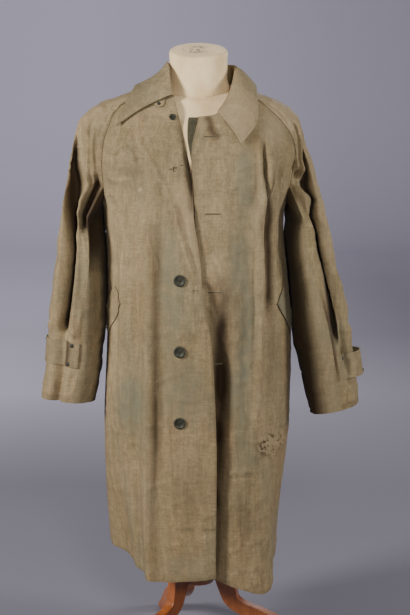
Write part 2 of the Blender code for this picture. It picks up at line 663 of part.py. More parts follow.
def make_collar(finish):
    last = COLLAR[-1][0]
    sections = np.linspace(0, last, last * COLLAR_STEPS + 1)
    shares = np.linspace(0, 1, COLLAR_COLUMNS + 1)
    cloth("collar", collar_surface(sections, shares)[::-1], COLLAR_CLOTH, finish)


def make_straps(finish):
    for side, strap in STRAP.items():
        angles = np.linspace(0, 180, ARCH_COLUMNS + 1)
        inside = angles[(angles > strap["angles"][0]) & (angles < strap["angles"][1])]
        angles = np.concatenate([[strap["angles"][0]], inside, [strap["angles"][1]]])
        stations = np.linspace(*strap["stations"], STRAP_ROWS + 1)
        loop = strap["loop"] * np.exp(-((angles - strap["loop_angle"]) / STRAP_LOOP_WIDTH) ** 2)
        points = upper_sleeve(side, stations, angles, STRAP_CLOTH + STRAP_EASE + loop)
        if side == "left":
            points = points[::-1]
        cloth("cuff_strap_" + side, points, STRAP_CLOTH, finish)


def make_welts(finish):
    for side, sign in SIDES.items():
        height = np.linspace(0, 1, WELT_ROWS + 1)
        z = WELT["low_z"] + (WELT["top_z"] - WELT["low_z"]) * height
        start = WELT["low_angle"] + (WELT["top_angle"] - WELT["low_angle"]) * height
        across = np.linspace(0, 1, WELT_COLUMNS + 1)
        z_grid = z[:, None] + WELT["rise"] * across
        angle = sign * (start[:, None] + WELT["turn"] * across)
        points = body_point(angle, z_grid, front_out(side, angle, z_grid) + CLOTH + WELT_EASE)
        if side == "right":
            points = points[:, ::-1]
        cloth("pocket_welt_" + side, points, CLOTH, finish)


def make_facing(finish):
    """The strip of the left front's facing that shows past its edge at the neck."""
    z = np.linspace(FACING_LOW_Z, FACING_TOP_Z, FACING_ROWS + 1)
    width = FACING_WIDTH * fade(z, FACING_LOW_Z - FACING_TAPER, FACING_TOP_Z)
    tucked = column(FRONT_EDGE["left"], "x", z) + FACING_TUCK
    x = tucked[:, None] - (width[:, None] + FACING_TUCK) * np.linspace(1, 0, FACING_COLUMNS + 1)
    z_grid = np.repeat(z[:, None], FACING_COLUMNS + 1, axis=1)
    angle = angle_at(x, z_grid)
    points = body_point(angle, z_grid, front_out("left", angle, z_grid) - CLOTH - EASE)
    cloth("facing_left", points, CLOTH, finish)


def front_seat(side, x, z):
    """A point of a front's surface and the surface's normal there."""
    x = x + SEAT_REACH * np.array((0, -1, 1, 0, 0))
    z = z + SEAT_REACH * np.array((0, 0, 0, -1, 1))
    angle = angle_at(x, z)
    points = body_point(angle, z, front_out(side, angle, z))
    normal = np.cross(points[2] - points[1], points[4] - points[3])
    return Vector(points[0]), Vector(normal).normalized()


def turned_piece(name, profile, sides, finish):
    """A solid turned round its own upright axis from (radius, height) points."""
    data = bpy.data.meshes.new(name)
    outline = bmesh.new()
    points = [outline.verts.new((r, 0, z)) for r, z in profile]
    for first, second in zip(points, points[1:]):
        outline.edges.new((first, second))
    outline.to_mesh(data)
    outline.free()
    made = place(name, data, finish)
    turned = made.modifiers.new("turned", "SCREW")
    turned.steps = turned.render_steps = sides
    turned.use_merge_vertices = True
    turned.merge_threshold = MERGE
    return made


def make_button(name, x, z, radius, finish):
    """A round button with a sunk middle, lying on the right front."""
    seat, normal = front_seat("right", x, z)
    thick = BUTTON_THICKNESS * radius / BUTTON_RADIUS
    profile = [(radius * r, thick * h) for r, h in BUTTON_PROFILE]
    made = turned_piece(name, profile, BUTTON_SIDES, finish)
    turn = normal.to_track_quat("Z", "Y").to_matrix().to_4x4()
    made.matrix_local = Matrix.Translation(seat + normal * BUTTON_EASE) @ turn


# Dress form and stand

def form_ring(wide, front, back, front_tilt, back_tilt, z, middle_y=0.0, middle_x=0.0):
    turn = np.linspace(0, 2 * np.pi, FORM_SIDES, endpoint=False)
    deep = np.where(np.cos(turn) > 0, front, back)
    x = wide * np.sin(turn)
    y = -deep * np.cos(turn)
    tilt = np.where(y < 0, front_tilt, back_tilt)
    return np.stack([x + middle_x, y + middle_y, z + tilt * y], axis=-1)


def neck_ring(z, wide, deep):
    share = (z - NECK[1][0]) / (NECK[-1][0] - NECK[1][0])
    middle = NECK_Y[0] + (NECK_Y[1] - NECK_Y[0]) * share
    return form_ring(wide, deep, deep, NECK_TILT, NECK_TILT, z, middle, NECK_X)


def make_form(finish):
    rings = [form_ring(*row[1:], row[0]) for row in FORM[1:]]
    for station, depths in zip(FORM_SHOULDER_STATIONS, FORM_SHOULDER_DEPTHS):
        row = RAGLAN["left"][1 + station]
        rings.append(form_ring(row[3], *depths, row[4] - CLOTH - EASE))
    base_z, base_wide, base_deep = NECK[1]
    rings.append(neck_ring(base_z - SEAM_GAP, base_wide, base_deep))
    ring_solid("form_torso", rings, finish)
    ring_solid("form_neck", [neck_ring(*row) for row in NECK[1:]], finish)


def smooth_line(points):
    """More points on a smooth line through the given ones."""
    rows = tuple((i, *point) for i, point in enumerate(points))
    table = (("place", "reach", "height"),) + rows
    at = np.linspace(0, len(points) - 1, 2 * len(points) - 1)
    return list(zip(column(table, "reach", at), column(table, "height", at)))


def make_stand(finish):
    top = FORM[1][0] - SEAM_GAP
    hub_top = HUB_PROFILE[0][1]
    foot = hub_top + SEAM_GAP
    turned_piece("stand_column", ((0, top), (COLUMN_RADIUS, top), (COLUMN_RADIUS, foot), (0, foot)),
                 COLUMN_SIDES, finish)
    hub = ((0, hub_top),) + HUB_PROFILE + ((0, HUB_PROFILE[-1][1]),)
    turned_piece("stand_hub", hub, COLUMN_SIDES, finish)
    for number, angle in enumerate(LEG_ANGLES, start=1):
        outline = bpy.data.curves.new(f"stand_leg_{number}", "CURVE")
        outline.dimensions = "2D"
        outline.fill_mode = "BOTH"
        outline.extrude = LEG_THICKNESS / 2
        spline = outline.splines.new("POLY")
        corners = smooth_line(LEG_UPPER) + smooth_line(LEG_LOWER)
        spline.points.add(len(corners) - 1)
        for point, (reach, height) in zip(spline.points, corners):
            point.co = (reach, height, 0, 1)
        spline.use_cyclic_u = True
        leg = place(f"stand_leg_{number}", outline, finish)
        leg.rotation_euler = (math.radians(90), 0, math.radians(angle))


for old in list(bpy.data.objects):
    bpy.data.objects.remove(old, do_unlink=True)

PART = bpy.data.collections.new("raincoat_on_dress_form")
bpy.context.scene.collection.children.link(PART)
ROOT = bpy.data.objects.new("stand_axis", None)
ROOT.location = STAND_AXIS
PART.objects.link(ROOT)

KHAKI = material("waxed_cotton", (0.235, 0.190, 0.110), 0.75)
FACING_GREEN = material("facing_cloth", (0.075, 0.075, 0.045), 0.8)
BUTTON_GREY = material("button_grey_green", (0.035, 0.042, 0.036), 0.45)
CREAM = material("form_cover", (0.72, 0.66, 0.52), 0.9)
WOOD = material("varnished_wood", (0.36, 0.12, 0.035), 0.35)

make_fronts(KHAKI)
make_back(KHAKI)
make_sleeves(KHAKI)
make_collar(KHAKI)
make_straps(KHAKI)
make_welts(KHAKI)
make_facing(FACING_GREEN)
for button, place_x, place_z in BUTTONS:
    make_button(button, place_x, place_z, BUTTON_RADIUS, BUTTON_GREY)
make_button(*COLLAR_BUTTON, COLLAR_BUTTON_RADIUS, BUTTON_GREY)
make_form(CREAM)
make_stand(WOOD)
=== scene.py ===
"""Looks of a raincoat on its dress form: creased cloth, stitching, buttons, cover cloth and varnished wood.

The coat's surfaces repeat the tables and functions of the part's source, in metres, round the stand's axis.
Angles round the body start at the front centre: 90 degrees is the wearer's left side and 180 the back.
"""
import math

import bmesh
import bpy
import numpy as np
from mathutils import Matrix, Vector


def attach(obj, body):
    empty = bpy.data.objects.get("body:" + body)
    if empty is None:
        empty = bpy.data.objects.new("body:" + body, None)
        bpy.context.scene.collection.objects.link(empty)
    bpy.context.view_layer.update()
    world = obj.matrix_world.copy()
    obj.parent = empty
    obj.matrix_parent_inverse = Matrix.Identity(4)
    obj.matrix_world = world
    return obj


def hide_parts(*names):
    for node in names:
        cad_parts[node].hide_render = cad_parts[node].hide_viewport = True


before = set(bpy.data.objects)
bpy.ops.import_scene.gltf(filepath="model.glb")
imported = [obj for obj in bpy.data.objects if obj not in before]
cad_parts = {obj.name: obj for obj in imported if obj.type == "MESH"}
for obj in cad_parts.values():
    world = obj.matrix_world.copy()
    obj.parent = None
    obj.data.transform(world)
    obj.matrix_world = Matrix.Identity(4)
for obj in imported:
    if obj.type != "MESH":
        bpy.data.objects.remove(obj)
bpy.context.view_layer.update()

# Driving sizes, as in the part's source
STAND_AXIS = (-0.0098, -0.0280, 0.0)
CLOTH = 0.0015
COLLAR_CLOTH = 0.0020
STRAP_CLOTH = 0.0020
SEAM_GAP = 0.0003
EASE = 0.0005
STRAP_EASE = 0.0020
BUTTON_EASE = 0.0007
# Smaller than in the part's source, because the finer sheets meet more closely along the under seams
UNDER_SEAM_INSET = 0.0001
SQUARENESS = 2.3
SIDES = {"right": -1, "left": 1}

# Body of the coat: half widths and depths from the stand's axis at each height
BODY = (
    ("z", "right", "left", "front", "back"),
    (0.170, 0.200, 0.185, 0.186, 0.172),
    (0.260, 0.207, 0.186, 0.185, 0.172),
    (0.380, 0.214, 0.195, 0.183, 0.170),
    (0.540, 0.215, 0.209, 0.180, 0.164),
    (0.640, 0.211, 0.212, 0.179, 0.158),
    (0.730, 0.206, 0.213, 0.178, 0.153),
    (0.820, 0.203, 0.2095, 0.177, 0.149),
    (0.900, 0.203, 0.202, 0.174, 0.145),
    (0.980, 0.206, 0.194, 0.167, 0.141),
    (1.050, 0.213, 0.201, 0.157, 0.136),
    (1.085, 0.2227, 0.2185, 0.151, 0.132),
    (1.125, 0.230, 0.2295, 0.146, 0.127),
    (1.160, 0.231, 0.2385, 0.139, 0.121),
    (1.192, 0.227, 0.233, 0.128, 0.115),
    (1.220, 0.2176, 0.2176, 0.115, 0.109),
    (1.2475, 0.205, 0.194, 0.102, 0.103),
    (1.268, 0.184, 0.166, 0.088, 0.098),
    (1.286, 0.142, 0.140, 0.076, 0.093),
    (1.302, 0.112, 0.112, 0.068, 0.089),
    (1.330, 0.090, 0.090, 0.062, 0.086),
)

# Front edges of the two fronts, read from the hem upwards
FRONT_EDGE = {
    "right": (
        ("z", "x"),
        (0.226, 0.040), (0.585, 0.040), (0.700, 0.0345), (0.747, 0.031), (0.799, 0.023), (0.869, 0.012),
        (0.936, 0.006), (1.020, -0.006), (1.121, -0.0135), (1.1715, -0.024), (1.218, -0.034),
        (1.251, -0.042), (1.287, -0.051),
    ),
    "left": (
        ("z", "x"),
        (0.213, 0.012), (0.600, 0.010), (0.800, 0.004), (0.900, 0.000), (1.017, -0.004), (1.088, -0.008),
        (1.136, -0.012), (1.166, -0.0126), (1.189, -0.010), (1.224, -0.001), (1.242, 0.0026),
    ),
}
NECK_CORNER_Z = {"right": 1.287, "left": 1.242}
NECKLINE_RISE = {
    "right": (("across", "z"), (0.0, 0.0), (0.5, 0.002), (1.0, 0.0)),
    "left": (("across", "z"), (0.0, 0.0), (0.2, -0.006), (0.35, -0.001), (0.6, 0.006), (1.0, 0.0)),
}
BACK_NECK_RISE = 0.014

# Hem heights by the angle round the body
HEM = {
    "front_right": (("angle", "z"), (-90, 0.258), (-58, 0.246), (-40, 0.228), (-28, 0.217), (14, 0.226)),
    "front_left": (
        ("angle", "z"),
        (0, 0.213), (12, 0.212), (27, 0.195), (45, 0.178), (64, 0.196), (90, 0.226),
    ),
    "back": (("angle", "z"), (90, 0.226), (135, 0.232), (180, 0.238), (225, 0.248), (270, 0.258)),
}

# Large folds of the body: ridges stand out and troughs go in, along a line from the top to the foot
FOLD_COLUMNS = ("top_angle", "low_angle", "top_z", "low_z", "width", "top_depth", "low_depth")
FOLDS = {
    "front_right": (
        (-27, -28, 1.06, 0.10, 4.5, 0.006, 0.016),
        (-19, -20, 1.04, 0.25, 5.0, -0.005, -0.003),
        (-36, -37, 0.90, 0.10, 5.0, -0.004, -0.010),
        (-60, -62, 0.62, 0.00, 21.0, 0.000, -0.056),
        (-64, -60, 1.05, 0.45, 7.0, -0.006, -0.004),
    ),
    "front_left": (
        (41, 34, 1.18, 0.52, 4.5, 0.016, 0.006),
        (50, 43, 1.17, 0.60, 4.5, -0.016, -0.005),
        (10, 8.5, 0.92, 0.10, 7.5, -0.020, -0.022),
        (44, 48, 0.56, 0.05, 15.0, 0.000, 0.026),
        (80, 78, 0.52, 0.05, 12.0, 0.000, -0.018),
    ),
    "back": (
        (140, 135, 0.98, 0.00, 7.0, 0.004, 0.016),
        (155, 153, 0.98, 0.05, 8.0, -0.004, -0.014),
        (176, 180, 1.02, 0.00, 7.0, 0.004, 0.014),
        (201, 204, 0.98, 0.05, 8.0, -0.004, -0.013),
        (222, 226, 0.98, 0.00, 7.0, 0.004, 0.016),
        (80, 78, 0.52, 0.05, 12.0, 0.000, -0.018),
        (300, 298, 0.62, 0.00, 21.0, 0.000, -0.056),
    ),
}
OVERLAP_LIFT = {"right": 0.0065, "left": -0.0030}
OVERLAP_REACH = 22.0
OVERLAP_ENDS_Z = (1.00, 1.12)
FOLD_START = 0.10
FOLD_END = 0.06

# Raglan seam and ridge of the shoulder, from the neck (0) to the underarm notch (8)
RAGLAN_STATIONS = 8
RAGLAN = {
    "right": (
        ("station", "seam_x", "seam_z", "ridge_x", "ridge_z"),
        (0, 0.085, 1.3000, 0.085, 1.316), (1, 0.125, 1.2850, 0.130, 1.300),
        (2, 0.160, 1.2690, 0.172, 1.284),
        (3, 0.182, 1.2475, 0.210, 1.270), (4, 0.195, 1.2200, 0.243, 1.252),
        (5, 0.205, 1.1920, 0.265, 1.229),
        (6, 0.2095, 1.1600, 0.274, 1.190), (7, 0.2105, 1.1250, 0.282, 1.140),
        (8, 0.208, 1.0850, 0.291, 1.092),
    ),
    "left": (
        ("station", "seam_x", "seam_z", "ridge_x", "ridge_z"),
        (0, 0.085, 1.3000, 0.085, 1.312), (1, 0.115, 1.2860, 0.120, 1.297),
        (2, 0.145, 1.2680, 0.155, 1.282),
        (3, 0.172, 1.2450, 0.188, 1.267), (4, 0.195, 1.2190, 0.212, 1.251),
        (5, 0.210, 1.1930, 0.229, 1.228),
        (6, 0.216, 1.1600, 0.240, 1.185), (7, 0.211, 1.1250, 0.255, 1.138),
        (8, 0.204, 1.0850, 0.268, 1.090),
    ),
}
UNDERARM_Z = {"right": 1.048, "left": 1.042}
EDGE_BESIDE_ARMHOLE = 0.035

# Sleeves below the underarm: outer and inner outline, depth, and where the under seams run (0 inner, 1 outer)
SLEEVE_END = 16
SLEEVE_COLUMNS = ("station", "out_x", "out_z", "in_x", "in_z", "front", "back", "front_seam", "back_seam")
SLEEVE = {
    "right": (
        SLEEVE_COLUMNS,
        (9, 0.2995, 1.045, 0.2270, 1.012, -0.084, 0.084, 0.20, 0.22),
        (10, 0.3110, 0.970, 0.2170, 0.950, -0.096, 0.094, 0.22, 0.26),
        (11, 0.3230, 0.890, 0.2120, 0.872, -0.101, 0.082, 0.27, 0.30),
        (12, 0.3345, 0.800, 0.2115, 0.788, -0.101, 0.064, 0.32, 0.34),
        (13, 0.3380, 0.753, 0.2120, 0.743, -0.099, 0.052, 0.34, 0.36),
        (14, 0.3420, 0.700, 0.2150, 0.690, -0.096, 0.040, 0.36, 0.38),
        (15, 0.3475, 0.650, 0.2250, 0.642, -0.093, 0.028, 0.38, 0.40),
        (16, 0.3535, 0.606, 0.2345, 0.599, -0.090, 0.018, 0.40, 0.42),
    ),
    "left": (
        SLEEVE_COLUMNS,
        (9, 0.2800, 1.045, 0.2150, 1.006, -0.084, 0.084, 0.28, 0.24),
        (10, 0.2980, 0.965, 0.2065, 0.942, -0.096, 0.094, 0.38, 0.26),
        (11, 0.3155, 0.885, 0.2120, 0.862, -0.103, 0.080, 0.50, 0.28),
        (12, 0.3330, 0.800, 0.2170, 0.778, -0.106, 0.060, 0.60, 0.30),
        (13, 0.3430, 0.745, 0.2260, 0.720, -0.106, 0.046, 0.62, 0.32),
        (14, 0.3520, 0.690, 0.2370, 0.662, -0.104, 0.034, 0.62, 0.34),
        (15, 0.3580, 0.645, 0.2480, 0.614, -0.101, 0.022, 0.62, 0.36),
        (16, 0.3630, 0.598, 0.2590, 0.569, -0.098, 0.012, 0.62, 0.38),
    ),
}

# Long troughs and ridges of the upper sleeves: angle over the arch (0 front seam, 180 back seam), by station
SLEEVE_FOLD_COLUMNS = ("top_angle", "low_angle", "top", "low", "width", "depth")
SLEEVE_FOLDS = {
    "right": (
        (44, 32, 5.5, 17.5, 11, -0.019), (68, 58, 6.0, 13.0, 10, 0.005), (120, 132, 7.0, 15.0, 14, -0.008),
    ),
    "left": (
        (40, 27, 6.5, 14.4, 11, -0.018), (64, 52, 6.5, 13.0, 10, 0.005), (122, 130, 7.0, 15.0, 14, -0.008),
    ),
}

# Collar: the fold and the outer edge at each section, from the right front end round the back to the left
COLLAR = (
    ("section", "fold_x", "fold_y", "fold_z", "edge_x", "edge_y", "edge_z", "bow"),
    (0, -0.053, -0.082, 1.291, -0.176, -0.087, 1.222, 0.007),
    (1, -0.0500, -0.063, 1.318, -0.162, -0.064, 1.262, 0.004),
    (2, -0.0530, -0.031, 1.350, -0.143, -0.026, 1.299, -0.004),
    (3, -0.0585, 0.010, 1.368, -0.134, 0.016, 1.307, -0.006),
    (4, -0.059, 0.062, 1.367, -0.108, 0.090, 1.292, -0.004),
    (5, 0.000, 0.090, 1.365, 0.000, 0.113, 1.282, -0.003),
    (6, 0.062, 0.062, 1.362, 0.108, 0.088, 1.289, -0.003),
    (7, 0.079, 0.004, 1.354, 0.129, 0.012, 1.308, 0.004),
    (8, 0.076, -0.034, 1.327, 0.133, -0.055, 1.278, 0.005),
    (9, 0.061, -0.075, 1.285, 0.130, -0.103, 1.228, 0.006),
    (10, 0.043, -0.101, 1.255, 0.096, -0.133, 1.184, 0.005),
)
COLLAR_JOINS = (0, 1.5, 3.8, 6.2, 8.5, 10)
COLLAR_CORE = (0.0, 0.01, 1.18)
COLLAR_LIFT = 0.0026
COLLAR_FRONT_START = {"right": 0.10, "left": 0.26}
STAND_SHARE = 0.30
BEND_BEFORE_FOLD = 0.12
BEND_AFTER_FOLD = 0.16

# Sewn-on pieces and buttons
STRAP = {
    "right": {"stations": (13.15, 14.2), "angles": (4, 150), "loop": 0.0, "loop_angle": 70, "painted_shade": 0.85},
    "left": {"stations": (13.45, 14.55), "angles": (6, 150), "loop": 0.013, "loop_angle": 62, "painted_shade": 0.0},
}
STRAP_LOOP_WIDTH = 30
# Painted shade across the right strap where it dips into the sleeve's pleat: its angle and width
STRAP_SHADE = {"angle": 24, "width": 7}
STRAP_GREEN = 0.25
# The welt's front edge runs from its top down to its foot; across it, it turns back and rises
WELT = {"top_z": 0.832, "low_z": 0.756, "top_angle": 53.5, "low_angle": 75.5, "turn": 12.5, "rise": 0.034}
WELT_EASE = 0.0016
FACING_WIDTH = 0.021
FACING_TUCK = 0.012
FACING_TAPER = 0.01
FACING_TOP_Z = 1.240
FACING_LOW_Z = 1.150
BUTTON_RADIUS = 0.0130
BUTTON_THICKNESS = 0.0042
BUTTONS = (
    ("front_button_1", -0.0370, 0.892, BUTTON_RADIUS),
    ("front_button_2", -0.0373, 0.736, BUTTON_RADIUS),
    ("front_button_3", -0.0377, 0.578, BUTTON_RADIUS),
    ("collar_button", -0.0536, 1.240, 0.0075),
)
SEAT_REACH = 0.004

# Dress form: half width, front and back depth and forward tilt of each ring
FORM = (
    ("z", "wide", "front", "back", "front_tilt", "back_tilt"),
    (0.620, 0.150, 0.100, 0.105, 0.0, 0.0),
    (0.650, 0.166, 0.112, 0.118, 0.0, 0.0),
    (0.720, 0.172, 0.116, 0.124, 0.0, 0.0),
    (0.880, 0.150, 0.108, 0.102, 0.0, 0.0),
    (1.000, 0.168, 0.122, 0.108, 0.0, 0.0),
    (1.080, 0.178, 0.138, 0.112, 0.0, 0.0),
    (1.150, 0.190, 0.131, 0.110, 0.0, 0.0),
    (1.200, 0.196, 0.116, 0.100, 0.02, 0.0),
    (1.240, 0.194, 0.098, 0.088, 0.12, 0.0),
)
FORM_SHOULDER_STATIONS = (3, 2, 1)
FORM_SHOULDER_DEPTHS = ((0.084, 0.062, 0.20, 0.0), (0.078, 0.062, 0.27, 0.0), (0.072, 0.064, 0.31, 0.04))
NECK = (
    ("z", "wide", "deep"),
    (1.3010, 0.0700, 0.0640),
    (1.3150, 0.0655, 0.0600),
    (1.3400, 0.0645, 0.0575),
    (1.3650, 0.0645, 0.0565),
    (1.3820, 0.0637, 0.0555),
    (1.3865, 0.0600, 0.0520),
)
NECK_SEAM = {"depth": 0.0009, "height": 0.0016}
NECK_TILT = 0.30
NECK_X = 0.0025
NECK_Y = (0.004, 0.014)

# Legs of the wooden stand: angles, rounding, and one leg's outline by reach and height
LEG_ANGLES = (-132, -12, 108)
LEG_ROUNDING = {"width": 0.0028, "segments": 3, "from_angle": math.radians(50)}
LEG_THICKNESS = 0.024
LEG_UPPER = ((0.0425, 0.250), (0.070, 0.242), (0.088, 0.216), (0.090, 0.176), (0.093, 0.146), (0.104, 0.120),
             (0.166, 0.096), (0.226, 0.068), (0.264, 0.030), (0.288, 0.011), (0.290, 0.000))
LEG_LOWER = ((0.246, 0.000), (0.236, 0.012), (0.196, 0.050), (0.136, 0.074), (0.100, 0.087),
             (0.067, 0.111), (0.050, 0.148), (0.0425, 0.170))

# Mesh density of the fine cloth
SIDE_ROWS, ARMHOLE_ROWS, RAGLAN_ROWS = 190, 18, 64
FRONT_COLUMNS, BACK_COLUMNS = 120, 130
SLEEVE_ROWS, ARCH_COLUMNS, UNDER_COLUMNS = 180, 110, 44
COLLAR_ROWS, COLLAR_COLUMNS = 220, 64
NECKLINE_POINTS = 61
NORMAL_STATION_STEP = 0.02
NORMAL_ANGLE_STEP = 0.5


def column(table, name, at):
    """A named column of a table at given values of its first column, on a smooth curve through the rows."""
    names, rows = table[0], np.array(table[1:], float)
    xs = rows[:, 0]
    ys = rows[:, names.index(name)]
    slopes = np.gradient(ys, xs)
    at = np.clip(np.asarray(at, float), xs[0], xs[-1])
    low = np.clip(np.searchsorted(xs, at, side="right") - 1, 0, len(xs) - 2)
    span = xs[low + 1] - xs[low]
    t = (at - xs[low]) / span
    start = (1 + 2 * t) * (1 - t) ** 2 * ys[low] + t * (1 - t) ** 2 * span * slopes[low]
    end = t ** 2 * (3 - 2 * t) * ys[low + 1] + t ** 2 * (t - 1) * span * slopes[low + 1]
    return start + end


def fade(value, low, high):
    """A smooth step from 0 at low to 1 at high."""
    t = np.clip((value - low) / (high - low), 0, 1)
    return t * t * (3 - 2 * t)


def unit(vectors):
    return vectors / np.maximum(np.linalg.norm(vectors, axis=-1, keepdims=True), 1e-12)


# Fine creases and marks of the cloth

# Creases of the fronts: a soft line from one point to another, its half width and its height in or out
CREASE_COLUMNS = ("x0", "z0", "x1", "z1", "width", "depth")
CREASES = {
    "right": (
        (-0.132, 1.205, -0.050, 1.060, 0.0042, 0.0034),
        (-0.054, 1.066, -0.030, 0.976, 0.0040, 0.0052), (-0.030, 0.976, -0.002, 0.884, 0.0036, 0.0050),
        (-0.002, 0.884, 0.018, 0.826, 0.0028, 0.0018), (-0.046, 1.075, 0.008, 0.890, 0.0080, -0.0040),
        (-0.0465, 0.6275, 0.014, 0.6275, 0.0022, 0.0010), (-0.0465, 0.6075, 0.014, 0.6075, 0.0022, 0.0010),
        (-0.0465, 0.6175, 0.014, 0.6175, 0.0030, -0.0008), (-0.068, 0.610, -0.068, 0.556, 0.0025, 0.0008),
        (0.006, 0.610, 0.006, 0.556, 0.0025, 0.0008), (-0.062, 0.553, 0.004, 0.556, 0.0030, -0.0008),
        (-0.186, 1.160, -0.158, 1.182, 0.0055, 0.0055), (-0.158, 1.182, -0.130, 1.146, 0.0055, 0.0055),
        (-0.186, 1.138, -0.138, 1.132, 0.0080, -0.0055), (-0.200, 1.108, -0.146, 1.098, 0.0065, 0.0040),
        (-0.192, 0.543, -0.115, 0.543, 0.0028, 0.0011), (-0.114, 0.672, -0.114, 0.545, 0.0028, 0.0010),
        (-0.190, 0.674, -0.116, 0.674, 0.0030, 0.0007), (-0.152, 0.673, -0.152, 0.546, 0.0028, 0.0006),
        (-0.100, 1.18, -0.103, 0.90, 0.0120, 0.0022), (-0.075, 1.14, -0.073, 0.86, 0.0100, -0.0020),
        (-0.135, 1.08, -0.142, 0.70, 0.0110, -0.0022), (-0.160, 1.06, -0.166, 0.74, 0.0090, 0.0018),
        (-0.088, 0.72, -0.090, 0.40, 0.0050, -0.0022), (-0.020, 0.53, -0.032, 0.28, 0.0120, 0.0016),
        (-0.060, 0.50, -0.055, 0.26, 0.0110, -0.0016), (-0.170, 0.50, -0.160, 0.30, 0.0100, 0.0022),
        (-0.140, 0.45, -0.132, 0.28, 0.0080, -0.0020), (-0.070, 0.470, -0.010, 0.440, 0.0050, 0.0010),
        (-0.055, 0.395, 0.015, 0.375, 0.0045, 0.0009), (-0.048, 0.336, 0.030, 0.338, 0.0030, -0.0006),
    ),
    "left": (
        (0.1366, 1.190, 0.1400, 0.849, 0.0050, 0.0075), (0.1400, 0.849, 0.1333, 0.580, 0.0055, 0.0040),
        (0.1475, 1.200, 0.1500, 0.800, 0.0036, -0.0110), (0.160, 1.175, 0.162, 1.000, 0.0120, 0.0080),
        (0.1226, 0.990, 0.1238, 0.730, 0.0030, -0.0030),
        (0.045, 0.930, 0.052, 0.700, 0.0200, 0.0120), (0.060, 0.760, 0.047, 0.400, 0.0140, -0.0120),
        (0.048, 0.420, 0.044, 0.200, 0.0090, -0.0100),
        (0.1238, 0.730, 0.1200, 0.560, 0.0040, -0.0016), (0.0677, 0.4585, 0.1229, 0.4608, 0.0030, 0.0018),
        (0.0677, 0.4500, 0.1229, 0.4520, 0.0040, -0.0014), (0.088, 1.18, 0.096, 0.86, 0.0140, -0.0022),
        (0.060, 1.17, 0.066, 0.95, 0.0120, 0.0020), (0.030, 1.15, 0.034, 0.98, 0.0100, -0.0014),
        (0.175, 1.12, 0.168, 0.80, 0.0080, 0.0032), (0.186, 1.05, 0.180, 0.88, 0.0060, -0.0030),
        (0.105, 0.90, 0.108, 0.62, 0.0090, -0.0020), (0.080, 0.86, 0.084, 0.50, 0.0100, 0.0022),
        (0.165, 0.78, 0.160, 0.50, 0.0100, -0.0022), (0.150, 0.52, 0.147, 0.26, 0.0120, 0.0030),
        (0.118, 0.48, 0.118, 0.24, 0.0100, -0.0024), (0.085, 0.44, 0.088, 0.23, 0.0100, 0.0018),
        (0.060, 0.635, 0.115, 0.640, 0.0030, 0.0008), (0.070, 0.560, 0.118, 0.556, 0.0035, -0.0008),
        (0.065, 0.395, 0.130, 0.372, 0.0050, 0.0012), (0.075, 0.310, 0.128, 0.292, 0.0045, 0.0010),
        (0.140, 0.530, 0.190, 0.500, 0.0050, 0.0016), (0.150, 0.560, 0.195, 0.540, 0.0050, -0.0014),
    ),
}

